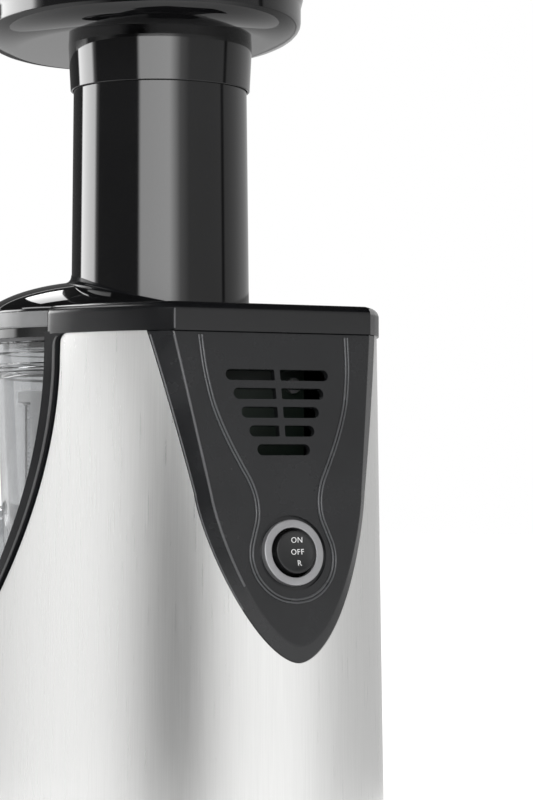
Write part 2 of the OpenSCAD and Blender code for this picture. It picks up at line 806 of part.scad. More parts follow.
// ---- bowl ----------------------------------------------------------------
bowl_low = platform_z + side_gap;
bowl_floor = bowl_low + 3;
flange_low = platform_z + flange_z;
flange_high = flange_low + 12.5;
sleeve_in = drive_r + 0.6;
sleeve_out = sleeve_in + 1.7;
bowl_gear_low = bowl_floor + 1.7;
bowl_gear_high = bowl_gear_low + 7;
strainer_low = bowl_gear_high + 2;
sun_pitch = bowl_module * sun_z / 2;
idler_pitch = bowl_module * idler_z / 2;
idler_at = sun_pitch + idler_pitch;
ring_pitch = sun_pitch + 2 * idler_pitch;
ring_z = sun_z + 2 * idler_z;
function bowl_outer(z) = bowl_foot_r + (bowl_top_r - bowl_foot_r) * (z - bowl_low) / (flange_low - bowl_low);
spout_z = platform_z + 37;
spout_wall = 1.8;

module spout_ways() { for (side = [-1, 1]) rotate(-90 + side * spout_deg) translate([0, 0, spout_z]) rotate([0, 90, 0]) children(); }
module juice_bowl() {
    color("#dfe3e6", 0.45) at_bowl() difference() {
        union() {
            difference() {
                union() {
                    rotate_extrude($fn = 120) polygon([[0, bowl_low], [bowl_foot_r - 3, bowl_low], [bowl_outer(bowl_low + 5), bowl_low + 5],
                        [bowl_top_r, flange_low], [flange_r - 1, flange_low + 1], [flange_r - 1, flange_low + 7],
                        [flange_r, flange_low + 8], [flange_r, flange_high], [0, flange_high]]);
                    intersection() {
                        spout_ways() cylinder(r = spout_r, h = spout_reach);
                        translate([-far / 2, -far, 0]) cube([far, far, far]);
                    }
                }
                rotate_extrude($fn = 120) polygon([[0, bowl_floor], [bowl_foot_r - bowl_wall - 2, bowl_floor],
                    [bowl_outer(bowl_floor + 2) - bowl_wall, bowl_floor + 2],
                    [bowl_top_r - bowl_wall, flange_low], [bowl_top_r - bowl_wall, flange_high + 1], [0, flange_high + 1]]);
            }
            tube(sleeve_out, sleeve_in, bowl_low, bowl_gear_high + 4);
            tube(ring_pitch + 8, ring_pitch + 4, bowl_floor - 0.1, bowl_gear_low - side_gap);
            for (turn = [-30, 210]) rotate(turn) translate([idler_at, 0, 0]) post(3.5, bowl_floor - 0.1, strainer_low);
        }
        spout_ways() translate([0, 0, 20]) cylinder(r = spout_r - spout_wall, h = spout_reach);
        post_round(sleeve_in, bowl_low - 1, bowl_gear_high + 5);
        post_round(seal_seat_r, bowl_low - 1, bowl_low + 1.6);
    }
}

seal_seat_r = 11;
module bowl_seal() {
    color("#b8463a") at_bowl() tube(seal_seat_r - 0.02, sleeve_in, bowl_low, bowl_low + 1.6);
}

idler_pin_r = 2.5;
module idler_pin() {
    color("#c9cacb") at_bowl() translate([0, idler_at, 0]) {
        post(idler_pin_r, bowl_floor, bowl_gear_high + 1);
        post(5, bowl_floor, bowl_gear_low - side_gap);
    }
}

module idler_gear() {
    color("#d8d6cc") at_bowl() translate([0, idler_at, 0])
        gear(idler_z, idler_pitch, bowl_gear_low, bowl_gear_high, idler_pin_r + run_gap, true, -90);
}

strainer_r = 39.5;
strainer_top = flange_low - 6;
frame_t = 1.5;
screen_t = 0.6;
rib_n = 8;
module strainer_frame() {
    color("#2a2b2d") at_bowl() difference() {
        post_round(strainer_r, strainer_low, strainer_top);
        post_round(strainer_r - frame_t, strainer_low + 2.5, strainer_top + 1);
        post_round(sun_pitch + 2.4, strainer_low - 1, strainer_low + 3);
        for (i = [0:rib_n - 1]) rotate(360 / rib_n * i + 12)
            translate([0, 0, strainer_low + 7]) linear_extrude(strainer_top - strainer_low - 12)
                polygon(concat([[0, 0]], [for (a = [2, 22.5, 43]) 60 * [cos(a), sin(a)]]));
        translate([-12, -34, strainer_low - 1]) cube([24, 9, 5]);
    }
}

module strainer_screen() {
    color("#aeb0b2") at_bowl()
        tube(strainer_r - frame_t - 0.05, strainer_r - frame_t - 0.05 - screen_t, strainer_low + 2.5, strainer_top);
}

wiper_in = strainer_r + 0.6;
wiper_out = wiper_in + 1.5;
blade_places = [20, 140, 260];
arm_half = 12.7;                // half angle of each upright
module wiper_frame() {
    color("#d9d6cc", 0.8) at_bowl() difference() {
        post_round(wiper_out, bowl_gear_low, strainer_top);
        translate([0, 0, bowl_gear_low - 1]) linear_extrude(bowl_gear_high - bowl_gear_low + 1)
            rotate(90 + 180 / ring_z) polygon(gear_points(ring_z, ring_pitch, ring_pitch * cos(20),
                ring_pitch - bowl_module, ring_pitch + 1.25 * bowl_module, -backlash / 2));
        post_round(wiper_in, bowl_gear_high - 0.01, strainer_top + 1);
        for (turn = blade_places) rotate(turn) {
            translate([0, 0, bowl_gear_high + 3]) linear_extrude(strainer_top - bowl_gear_high - 7)
                polygon(concat([[0, 0]], [for (a = [arm_half, 60, 120 - arm_half]) 90 * [cos(a), sin(a)]]));
            translate([0, -1, bowl_gear_high + 6]) cube([far, 2, strainer_top - bowl_gear_high - 12]);
            for (i = [0:2]) translate([0, 5, strainer_top - 14 - 24 * i]) cube([far, 8, 8]);
        }
    }
}

module wiper_blades() {
    color("#b23a2e") at_bowl() for (turn = blade_places) rotate(turn)
        translate([strainer_r + side_gap, -1 + 0.02, bowl_gear_high + 6.05])
            cube([wiper_out - strainer_r + 0.3, 1.96, strainer_top - bowl_gear_high - 12.1]);
}

auger_low = strainer_low + 5;
auger_high = flange_low - 10;
auger_r = strainer_r - 3.2;
module auger() {
    color("#26272a") at_bowl() difference() {
        union() {
            tube(sun_pitch - 1.2, sleeve_out + side_gap, bowl_gear_high, auger_low);
            translate([0, 0, auger_low]) cylinder(r1 = 26, r2 = 14, h = auger_high - auger_low);
            intersection() {
                translate([0, 0, auger_low]) linear_extrude(auger_high - auger_low, twist = -420, slices = 42)
                    for (side = [0, 180]) rotate(side) polygon([[0, -4.5], [auger_r, -2], [auger_r, 2], [0, 4.5]]);
                translate([0, 0, auger_low]) cylinder(r = auger_r - 0.2, h = far);
            }
            post_round(5, auger_high, auger_high + 16);
        }
        translate([0, 0, bowl_gear_high]) cylinder(r = sleeve_out + side_gap, h = 4.6);
        translate([0, 0, auger_low - 6]) cylinder(r = hex_r + 0.25, h = hex_top - auger_low + 8, $fn = 6);
    }
}

module auger_gear() {
    color("#c9c6ba") at_bowl() gear(sun_z, sun_pitch, bowl_gear_low, bowl_gear_high, sleeve_out + side_gap);
}

// ---- lid -------------------------------------------------------------------
seal_h = 1.5;
lid_low = flange_high + seal_h;
skirt_low = lid_low + 3.5;
skirt_high = skirt_low + 6.5;
plug_r = bowl_top_r - bowl_wall - 0.4;
lid_floor = flange_low + 10;
tube_top = steel_top + tube_h;
tube_in_foot = tube_foot_r - tube_wall;
tube_in_top = tube_top_r - tube_wall;
dome_n = 16;
dome_wall = 2.4;
chute_wall = 2.2;
void_r = plug_r - chute_wall;
function dome_z(r, edge, rise) = rise * pow(max(0, 1 - pow(r / edge, 2.5)), 0.7);
// points of a dome's surface from a radius inwards to the axis
function dome_line(edge, rise, base, start) = [for (i = [0:dome_n])
    let (r = start * cos(90 * i / dome_n)) [r, base + dome_z(r, edge, rise)]];

pin_seat_r = 9;
bush_r = 6.5;
bush_high = auger_high + 17;
module lid_shell() {
    difference() {
        rotate_extrude($fn = 120) polygon(concat(
            [[0, lid_floor], [plug_r, lid_floor], [plug_r, lid_low], [flange_r - 0.4, lid_low],
             [flange_r - 0.4, skirt_low], [lid_r, skirt_low]],
            dome_line(lid_r, dome_h, skirt_high, lid_r)));
        rotate_extrude($fn = 120) polygon(concat(
            [[0, lid_floor + 3], [void_r, lid_floor + 3]],
            dome_line(lid_r - dome_wall, dome_h - dome_wall, skirt_high, void_r)));
    }
}
module lid() {
    color("#141516") at_bowl() difference() {
        union() {
            lid_shell();
            translate([0, 0, auger_high + 2]) cylinder(r = pin_seat_r, h = lid_floor - auger_high - 1);
            intersection() {
                translate([tube_x, tube_y, lid_floor + 1]) cylinder(r = tube_foot_r - 0.1, h = skirt_high - lid_floor + 2);
                translate([0, 0, lid_floor]) cylinder(r = plug_r - 1, h = 30);
            }
            translate([tube_x, tube_y, skirt_high - 0.5])
                cylinder(r1 = tube_foot_r, r2 = tube_top_r, h = tube_top - skirt_high + 0.5);
        }
        translate([tube_x, tube_y, skirt_high]) cylinder(r1 = tube_in_foot, r2 = tube_in_top, h = tube_top - skirt_high + 0.01);
        translate([tube_x, tube_y, tube_top - 0.1]) cylinder(r = tube_in_top, h = 2);
        intersection() {
            translate([tube_x, tube_y, lid_floor + 3.1]) cylinder(r = tube_in_foot - 0.1, h = skirt_high - lid_floor - 2);
            translate([0, 0, lid_floor]) cylinder(r = void_r - 0.4, h = 30);
        }
        intersection() {
            translate([tube_x, tube_y, lid_floor - 1]) cylinder(r = tube_in_foot - 0.9, h = 6);
            translate([0, 0, lid_floor - 2]) cylinder(r = void_r - 1.1, h = 8);
            translate([-far / 2, pin_seat_r + 1.5, lid_floor - 3]) cube([far, far, 10]);
        }
        post_round(bush_r + snug, auger_high, bush_high);
    }
}

module lid_seal() {
    color("#3a3a3c") at_bowl() tube(flange_r - 0.8, bowl_top_r - bowl_wall + 0.6, flange_high, lid_low);
}

module lid_bush() {
    color("#d6d3c8") at_bowl() tube(bush_r, 5 + run_gap, auger_high + 2, bush_high);
}

// ---- tray --------------------------------------------------------------------
collar_gap = 0.5;
collar_low = tube_top - collar_h + 3;
tray_low = tube_top + 3;
tray_top = tray_low + tray_h;
round_w = 14;                   // the underside's rounding, across and up
round_h = 8;
crease_h = 12.8;                // height of the crease below the lip, midway
crease_rise = 3.2;              // how much higher it lies at the back
lip_swing = 2;                  // how much wider the lip is at the front
tray_n = 72;
round_n = 5;
// one level of the tray: inset from the wall, height, and a share of the crease's and lip's swing
function tray_ring(inset, z, rise, swing) = [for (i = [0:tray_n - 1])
    let (turn = 360 * i / tray_n, grow = -inset - swing * lip_swing * sin(turn))
    [-tube_x + (tray_a + grow) * cos(turn), -tray_fwd + (tray_b + grow) * sin(turn), z + rise * crease_rise * sin(turn)]];
function tray_rounding(inset, low) = [for (i = [0:round_n]) let (turn = 90 * i / round_n)
    tray_ring(inset + round_w * (1 - sin(turn)), low + round_h * (1 - cos(turn)), 0, 0)];
function backwards(list) = [for (i = [len(list) - 1:-1:0]) list[i]];
module tray_dish() {
    rings = concat(
        tray_rounding(0, tray_low),
        [tray_ring(0, tray_low + crease_h, 1, 0),
         tray_ring(-tray_lip, tray_top, 0, 1),
         tray_ring(-tray_lip + tray_wall, tray_top, 0, 1),
         tray_ring(tray_wall, tray_low + crease_h + 0.6, 1, 0)],
        backwards(tray_rounding(tray_wall, tray_low + tray_wall)));
    last = (len(rings) - 1) * tray_n;
    polyhedron(
        points = [for (ring = rings) for (point = ring) point],
        faces = concat(
            [[for (i = [0:tray_n - 1]) i]],
            [for (k = [0:len(rings) - 2]) for (i = [0:tray_n - 1])
                let (a = k * tray_n + i, b = k * tray_n + (i + 1) % tray_n) [a, a + tray_n, b + tray_n]],
            [for (k = [0:len(rings) - 2]) for (i = [0:tray_n - 1])
                let (a = k * tray_n + i, b = k * tray_n + (i + 1) % tray_n) [a, b + tray_n, b]],
            [[for (i = [tray_n - 1:-1:0]) last + i]]));
}
module tray() {
    color("#151617") at_tube() difference() {
        union() {
            tray_dish();
            translate([0, 0, collar_low]) cylinder(r1 = collar_r - 0.9, r2 = collar_r, h = tray_low - collar_low + 1);
        }
        translate([0, 0, collar_low - 1]) cylinder(r = tube_top_r + collar_gap, h = tube_top - collar_low + 1);
        translate([0, 0, tube_top - 1]) cylinder(r = tube_in_top, h = 20);
    }
}

base_pan();
rubber_feet();
base_screws();
chassis();
steel_wrap();
front_trim();
top_cap();
back_panel();
panel_screws();
switch_housing();
switch_bezel();
switch_pin();
switch_rocker();
control_board();
board_posts();
interlock_switch();
inlet_gland();
motor_can();
motor_stator();
stator_windings();
motor_end_bell();
motor_bearings();
motor_screws();
motor_rotor();
motor_pinion();
cooling_fan();
gearbox_case();
gearbox_cover();
gearbox_screws();
gear_pin();
reduction_gear();
output_gear();
drive_shaft();
shaft_bearings();
shaft_seal();
juice_bowl();
bowl_seal();
idler_pin();
idler_gear();
strainer_frame();
strainer_screen();
wiper_frame();
wiper_blades();
auger();
auger_gear();
lid();
lid_seal();
lid_bush();
tray();
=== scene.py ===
import json
import math

import bmesh
import bpy
from mathutils import Matrix, Vector


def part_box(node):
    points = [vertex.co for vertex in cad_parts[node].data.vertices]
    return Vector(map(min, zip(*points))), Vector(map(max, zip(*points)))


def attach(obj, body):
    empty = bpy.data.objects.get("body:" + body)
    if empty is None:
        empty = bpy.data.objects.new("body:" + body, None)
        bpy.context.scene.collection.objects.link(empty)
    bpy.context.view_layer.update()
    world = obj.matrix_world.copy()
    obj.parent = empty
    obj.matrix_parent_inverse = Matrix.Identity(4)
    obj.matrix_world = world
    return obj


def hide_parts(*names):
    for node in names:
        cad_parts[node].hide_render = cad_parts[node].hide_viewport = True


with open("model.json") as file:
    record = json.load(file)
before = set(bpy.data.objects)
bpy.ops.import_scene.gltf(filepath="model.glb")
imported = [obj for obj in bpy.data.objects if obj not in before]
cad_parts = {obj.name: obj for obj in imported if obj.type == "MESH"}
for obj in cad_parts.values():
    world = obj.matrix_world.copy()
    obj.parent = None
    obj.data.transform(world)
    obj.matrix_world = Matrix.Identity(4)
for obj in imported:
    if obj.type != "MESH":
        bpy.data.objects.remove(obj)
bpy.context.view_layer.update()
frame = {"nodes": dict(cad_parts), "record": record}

scene = bpy.context.scene
mm = 0.001

# places that everything else is measured from, in mm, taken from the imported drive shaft
shaftLow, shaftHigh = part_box("drive_shaft")
axisY = (shaftLow.y + shaftHigh.y) / 2 / mm          # the bowl's axis
bodyY = axisY + 42.3                                 # the body's widest place
tubeX, tubeY = -6, axisY + 20                        # the feed tube's axis


# small modelling helpers

def deselect():
    if bpy.context.object and bpy.context.object.mode != "OBJECT":
        bpy.ops.object.mode_set(mode="OBJECT")
    bpy.ops.object.select_all(action="DESELECT")


def pick(obj):
    deselect()
    obj.select_set(True)
    bpy.context.view_layer.objects.active = obj


def edit(obj):
    pick(obj)
    bpy.ops.object.mode_set(mode="EDIT")
    bpy.ops.mesh.select_mode(type="VERT")
    bpy.ops.mesh.select_all(action="DESELECT")


def done():
    bpy.ops.object.mode_set(mode="OBJECT")


def selectWhere(obj, test, kind="verts"):
    # kind is verts or edges, and test gets the place of one in mm
    mesh = bmesh.from_edit_mesh(obj.data)
    for item in [*mesh.verts, *mesh.edges, *mesh.faces]:
        item.select = False
    for item in getattr(mesh, kind):
        spot = item.co if kind == "verts" else (item.verts[0].co + item.verts[1].co) / 2
        if test(spot / mm):
            item.select = True
    mesh.select_flush(True)
    bmesh.update_edit_mesh(obj.data)


def tidyMesh(obj):
    pick(obj)
    bpy.ops.object.mode_set(mode="EDIT")
    bpy.ops.mesh.select_all(action="SELECT")
    bpy.ops.mesh.remove_doubles(threshold=2e-6)
    bpy.ops.mesh.normals_make_consistent(inside=False)
    bpy.ops.object.mode_set(mode="OBJECT")


def addModifier(obj, kind, **settings):
    modifier = obj.modifiers.new(kind.lower(), kind)
    for key, value in settings.items():
        setattr(modifier, key, value)
    pick(obj)
    bpy.ops.object.modifier_apply(modifier=modifier.name)


def cut(obj, *cutters, operation="DIFFERENCE"):
    for cutter in cutters:
        addModifier(obj, "BOOLEAN", operation=operation, object=cutter, solver="EXACT")
        bpy.data.objects.remove(cutter)


def roundEdges(obj, width, segments=3, angle=30):
    addModifier(obj, "BEVEL", width=width * mm, segments=segments, limit_method="ANGLE",
                angle_limit=math.radians(angle), harden_normals=False, miter_outer="MITER_ARC")


def smooth(obj, angle=30):
    pick(obj)
    bpy.ops.object.shade_smooth_by_angle(angle=math.radians(angle))


def startPoint(name, place):
    # a plane merged to its one middle point, from which a line is drawn by extruding
    deselect()
    bpy.ops.mesh.primitive_plane_add(size=2 * mm, location=(0, 0, 0))
    obj = bpy.context.object
    obj.name = obj.data.name = name
    bpy.ops.object.mode_set(mode="EDIT")
    bpy.ops.mesh.select_all(action="SELECT")
    bpy.ops.mesh.merge(type="CENTER")
    bpy.ops.transform.translate(value=Vector(place) * mm)
    return obj


def drawLine(name, places, closed=True):
    obj = startPoint(name, places[0])
    for before, after in zip(places, places[1:]):
        step = (Vector(after) - Vector(before)) * mm
        bpy.ops.mesh.extrude_region_move(TRANSFORM_OT_translate={"value": step})
    if closed:
        mesh = bmesh.from_edit_mesh(obj.data)
        mesh.verts.ensure_lookup_table()
        ends = [v for v in mesh.verts if len(v.link_edges) == 1]
        mesh.edges.new(ends)
        bmesh.update_edit_mesh(obj.data)
    return obj


def lathe(name, profile, x=0, y=None, steps=128, closed=True):
    # spins a profile of (radius, height) points about a vertical axis
    y = axisY if y is None else y
    obj = drawLine(name, [(x + r, y, z) for r, z in profile], closed)
    bpy.ops.mesh.select_all(action="SELECT")
    bpy.ops.mesh.spin(steps=steps, angle=2 * math.pi, center=(x * mm, y * mm, 0), axis=(0, 0, 1))
    done()
    tidyMesh(obj)
    return obj


def prism(name, places, push):
    # a flat outline pushed along a direction
    obj = drawLine(name, places)
    bpy.ops.mesh.select_all(action="SELECT")
    bpy.ops.mesh.edge_face_add()
    bpy.ops.mesh.extrude_region_move(TRANSFORM_OT_translate={"value": Vector(push) * mm})
    done()
    tidyMesh(obj)
    return obj


def rod(name, radius, low, high, x=0, y=None, verts=96):
    y = axisY if y is None else y
    deselect()
    bpy.ops.mesh.primitive_cylinder_add(vertices=verts, radius=radius * mm, depth=(high - low) * mm,
                                        location=(x * mm, y * mm, (low + high) / 2 * mm))
    obj = bpy.context.object
    obj.name = name
    settle(obj)
    return obj


def makeBead(name, places, radius, closed=False):
    obj = drawLine(name, places, closed=closed)
    done()
    pick(obj)
    bpy.ops.object.convert(target="CURVE")
    obj.data.bevel_depth = radius * mm
    obj.data.bevel_resolution = 3
    obj.data.use_fill_caps = True
    bpy.ops.object.convert(target="MESH")
    tidyMesh(obj)
    return obj


def settle(obj):
    pick(obj)
    bpy.ops.object.transform_apply(location=True, rotation=True, scale=True)


def place(obj, matrix):
    obj.matrix_world = matrix
    settle(obj)


def finishPiece(obj, body, slotName, replaced=(), angle=30, look=None):
    # look names the finish where it isn't the slot's own
    obj.data.materials.clear()
    obj.data.materials.append(finishes[look or slotName])
    smooth(obj, angle)
    addModifier(obj, "WEIGHTED_NORMAL", weight=80, keep_sharp=True)
    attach(obj, body)
    if replaced:
        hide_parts(*replaced)
    deselect()


# rings of verts, each joined to the next

def sortedRing(mesh, x=0, y=0):
    # all verts, in order round an upright axis
    def turn(p):
        return math.atan2(p.co.y - y * mm, p.co.x - x * mm) % (2 * math.pi - 1e-6)

    return sorted(mesh.verts, key=turn)


def bridge(mesh, ring, other):
    for i in range(len(ring)):
        j = (i + 1) % len(ring)
        mesh.faces.new((ring[i], ring[j], other[j], other[i]))


def addRing(mesh, ring, places):
    fresh = [mesh.verts.new(Vector(p) * mm) for p in places]
    bridge(mesh, ring, fresh)
    return fresh


def closeMesh(mesh, obj):
    bmesh.ops.recalc_face_normals(mesh, faces=mesh.faces)
    mesh.to_mesh(obj.data)
    mesh.free()


# shader helpers

class Wire:
    # a node's output that takes part in plain arithmetic
    def __init__(self, finish, socket):
        self.finish = finish
        self.socket = socket

    def output(self, which):
        # another output of the same node
        return Wire(self.finish, self.socket.node.outputs[which])

    def __add__(self, other):
        return self.finish.calc("ADD", self, other)

    def __sub__(self, other):
        return self.finish.calc("SUBTRACT", self, other)

    def __mul__(self, other):
        return self.finish.calc("MULTIPLY", self, other)

    def __pow__(self, other):
        return self.finish.calc("POWER", self, other)


class Finish:
    def __init__(self, name, colour, roughness, **constants):
        self.material = bpy.data.materials.new(name)
        self.material.use_nodes = True
        self.tree = self.material.node_tree
        self.shader = self.tree.nodes["Principled BSDF"]
        self.shader.inputs["Base Color"].default_value = (*colour, 1)
        self.shader.inputs["Roughness"].default_value = roughness
        for key, value in constants.items():
            self.shader.inputs[key].default_value = value

    def add(self, kind, settings=None, inputs=None, output=0):
        node = self.tree.nodes.new("ShaderNode" + kind)
        for key, value in (settings or {}).items():
            if key == "stops":
                ramp = node.color_ramp
                while len(ramp.elements) < len(value):
                    ramp.elements.new(0.5)
                for element, (position, grey) in zip(ramp.elements, value):
                    element.position = position
                    element.color = (grey, grey, grey, 1)
            else:
                setattr(node, key, value)
        for key, value in (inputs or {}).items():
            self.feed(node.inputs[key], value)
        return Wire(self, node.outputs[output])

    def feed(self, socket, value):
        if isinstance(value, Wire):
            self.tree.links.new(value.socket, socket)
        else:
            socket.default_value = value

    def set(self, name, value):
        self.feed(self.shader.inputs[name], value)

    def coords(self, scale=(1, 1, 1)):
        spot = self.add("TexCoord", output="Object")
        return self.add("Mapping", {}, {"Vector": spot, "Scale": scale})

    def noise(self, scale, detail=2, stretch=(1, 1, 1), roughness=0.5):
        return self.add("TexNoise", {}, {"Vector": self.coords(stretch), "Scale": scale,
                                         "Detail": detail, "Roughness": roughness})

    def spread(self, value, low, high):
        # maps a noise value to a range
        return self.add("MapRange", {"clamp": True}, {"Value": value, "From Min": 0.3, "From Max": 0.7,
                                                      "To Min": low, "To Max": high})

    def blendColours(self, factor, first, second):
        inputs = {0: factor, 6: (*first, 1), 7: (*second, 1)}
        return self.add("Mix", {"data_type": "RGBA"}, inputs, output=2)

    def tint(self, value, colour, dark, light):
        # a base colour that a noise value makes darker and lighter
        shades = [tuple(min(1, c * share) for c in colour) for share in (dark, light)]
        self.set("Base Color", self.blendColours(self.spread(value, 0, 1), *shades))

    def bump(self, height, strength, distance):
        inputs = {"Height": height, "Strength": strength, "Distance": distance}
        self.set("Normal", self.add("Bump", {}, inputs))

    def calc(self, operation, *values):
        return self.add("Math", {"operation": operation}, dict(enumerate(values)))

    def surface(self, wire):
        self.feed(self.tree.nodes["Material Output"].inputs["Surface"], wire)


def moulded(name, colour, roughness, grain=0.08, **constants):
    # fine moulded texture with faint handling marks
    finish = Finish(name, colour, roughness, **constants)
    fine = finish.noise(2600, 3)
    broad = finish.noise(38, 4, roughness=0.6)
    finish.set("Roughness", finish.spread(broad, roughness - 0.05, roughness + 0.05))
    finish.tint(broad, colour, 0.86, 1.16)
    finish.bump(fine, grain, 0.00012)
    return finish.material


def polished(name, colour, roughness):
    # glossy moulding with hairline marks
    finish = Finish(name, colour, roughness)
    broad = finish.noise(30, 3)
    hair = finish.noise(900, 2, (1, 1, 0.04))
    finish.set("Roughness", finish.spread(broad, roughness * 0.7, roughness * 1.5))
    finish.tint(broad, colour, 0.8, 1.2)
    finish.bump(hair * 0.3 + broad, 0.012, 0.0002)
    return finish.material


def brushed(name, colour, roughness, stretch, bumpiness=0.12, **constants):
    # metal with a grain along one direction
    finish = Finish(name, colour, roughness, Metallic=1, **constants)
    fine = finish.noise(2400, 2, stretch)
    coarse = finish.noise(420, 3, stretch)
    cloud = finish.noise(14, 3, (1, 1, 0.35))
    grain = fine * 0.75 + coarse * 0.25
    finish.set("Roughness", finish.spread(grain * 0.7 + cloud * 0.3, roughness - 0.02, roughness + 0.03))
    finish.tint(grain, colour, 0.965, 1.03)
    finish.bump(grain, bumpiness, 0.00004)
    return finish.material


def rubbery(name, colour, roughness=0.75):
    finish = Finish(name, colour, roughness)
    speck = finish.noise(1500, 4)
    finish.tint(speck, colour, 0.8, 1.25)
    finish.bump(speck, 0.2, 0.0001)
    return finish.material


def clearPlastic():
    finish = Finish("clearPlastic", (0.55, 0.558, 0.565), 0.03, IOR=1.49)
    finish.set("Transmission Weight", 1.0)
    haze = finish.noise(45, 3)
    finish.set("Roughness", finish.spread(haze, 0.015, 0.06))
    finish.bump(haze, 0.02, 0.0003)
    return finish.material


def perforated():
    # round holes in a thin sheet, by height and by angle round the bowl's axis
    finish = Finish("perforatedSteel", (0.62, 0.63, 0.64), 0.32, Metallic=1)
    pitch, sheetRadius = 1.9, 37.6
    rowShare = 0.866                # the distance between rows as a share of the pitch
    spot = finish.add("TexCoord", output="Object")
    moved = finish.add("VectorMath", {"operation": "SUBTRACT"}, {0: spot, 1: (0, axisY * mm, 0)})
    x = finish.add("SeparateXYZ", {}, {0: moved})
    column = finish.calc("ARCTAN2", x.output("Y"), x) * (sheetRadius / pitch)
    row = x.output("Z") * (1 / (pitch * rowShare * mm))
    odd = finish.calc("MODULO", finish.calc("FLOOR", row), 2)
    across = finish.calc("FRACT", column + odd * 0.5) - 0.5
    along = (finish.calc("FRACT", row) - 0.5) * rowShare
    distance = (across * across + along * along) ** 0.5
    hole = finish.add("MapRange", {"clamp": True}, {"Value": distance, "From Min": 0.27, "From Max": 0.31,
                                                     "To Min": 0.0, "To Max": 1.0})
    finish.set("Alpha", hole)
    grain = finish.noise(900, 3)
    finish.set("Roughness", finish.spread(grain, 0.25, 0.42))
    finish.bump(hole, 0.3, 0.0002)
    return finish.material


def lettering():
    finish = Finish("printedLetters", (0.86, 0.87, 0.87), 0.5)
    speck = finish.spread(finish.noise(4000, 2), 0, 1)
    finish.set("Base Color", finish.blendColours(speck, (0.78, 0.79, 0.79), (0.9, 0.9, 0.9)))
    return finish.material


finishes = {
    "satin_black": moulded("satinBlack", (0.0045, 0.0047, 0.0055), 0.22),
    "trim_black": moulded("trimBlack", (0.0085, 0.0088, 0.0098), 0.2, **{"Specular IOR Level": 0.07}),
    "charcoal": moulded("charcoalPanel", (0.013, 0.0135, 0.0147), 0.24),
    # painted highlight: a light grey for the thin beads along the creases and the panel's edge
    "painted_highlight_line": moulded("paintedHighlightLine", (0.085, 0.086, 0.09), 0.3),
    # painted highlight: a light grey on the ridge beads, for the light lines along them
    "painted_highlight_ridge": moulded("paintedHighlightRidge", (0.07, 0.072, 0.076), 0.28),
    "trim_ridge": moulded("trimRidgeGrey", (0.014, 0.0145, 0.0155), 0.35),
    "rocker_black": moulded("rockerPlastic", (0.012, 0.0123, 0.0132), 0.32),
    "brushed_steel": brushed("brushedSteel", (0.82, 0.82, 0.81), 0.28, (1, 1, 0.006), 0.005,
                             Anisotropic=0.8),
    "silver_ring": moulded("silverRing", (0.36, 0.36, 0.37), 0.38, Metallic=0.5),
    "gloss_black": polished("glossBlack", (0.0055, 0.0055, 0.006), 0.05),
    "foot_rubber": rubbery("footRubber", (0.022, 0.022, 0.024)),
    "screw_steel": brushed("zincSteel", (0.6, 0.6, 0.61), 0.35, (1, 1, 1)),
    # painted shade: the board's green is taken down near black, for the shade behind the vents
    "board_green": moulded("boardGreenPaintedShade", (0.004, 0.011, 0.006), 0.5),
    "motor_steel": brushed("motorSteel", (0.45, 0.46, 0.47), 0.42, (1, 1, 0.1)),
    "copper": brushed("copperWire", (0.72, 0.32, 0.15), 0.35, (1, 1, 0.05)),
    "fan_grey": moulded("fanPlastic", (0.09, 0.09, 0.095), 0.45),
    "brass": brushed("turnedBrass", (0.72, 0.53, 0.25), 0.3, (0.1, 0.1, 1)),
    "cast_grey": moulded("castMetal", (0.33, 0.34, 0.36), 0.5, grain=0.25, Metallic=0.8),
    "gear_white": moulded("gearPlastic", (0.72, 0.7, 0.62), 0.42),
    "seal_red": rubbery("sealSilicone", (0.42, 0.06, 0.04), 0.5),
    "clear_plastic": clearPlastic(),
    # painted reflection: a mid grey on the gloss black skirt, for the light it mirrors
    "painted_reflection_skirt": moulded("paintedReflectionSkirt", (0.25, 0.252, 0.255), 0.18, grain=0.03),
    "strainer_black": moulded("strainerPlastic", (0.03, 0.03, 0.033), 0.3),
    "perforated_steel": perforated(),
    "milky_plastic": moulded("milkyPlastic", (0.7, 0.7, 0.69), 0.3, grain=0.04),
    "auger_black": polished("augerPlastic", (0.03, 0.03, 0.033), 0.2),
    "seal_grey": rubbery("lidSeal", (0.07, 0.07, 0.073), 0.6),
    "letters": lettering(),
}

for part in frame["record"]["subparts"]:
    node = frame["nodes"][part["node"]]
    node.data.materials.clear()
    node.data.materials.append(finishes[part["material_slot"]])
print("finishes are on", len(frame["nodes"]), "frame nodes")


# camera, light and floor

cameraSet = {
    "turn": 62,                              # degrees from the X axis round to the camera
    "place": (410.7, bodyY + 848.6, 234),
    "towards": (-0.4695, -0.8829, 0),
    "lens": 112.5,
    "shift": 0.0625,
}

lightSet = {
    # name: angle to the right of the camera, distance, height, width, length, strength
    "sideStrip": (-105, 1200, 500, 560, 1300, 2.0),
    "frontBox": (0, 1700, 760, 1300, 1000, 3.6),
    "farBox": (125, 1300, 600, 600, 1200, 1.4),
    "topBox": (30, 400, 1500, 900, 900, 1.0),
}

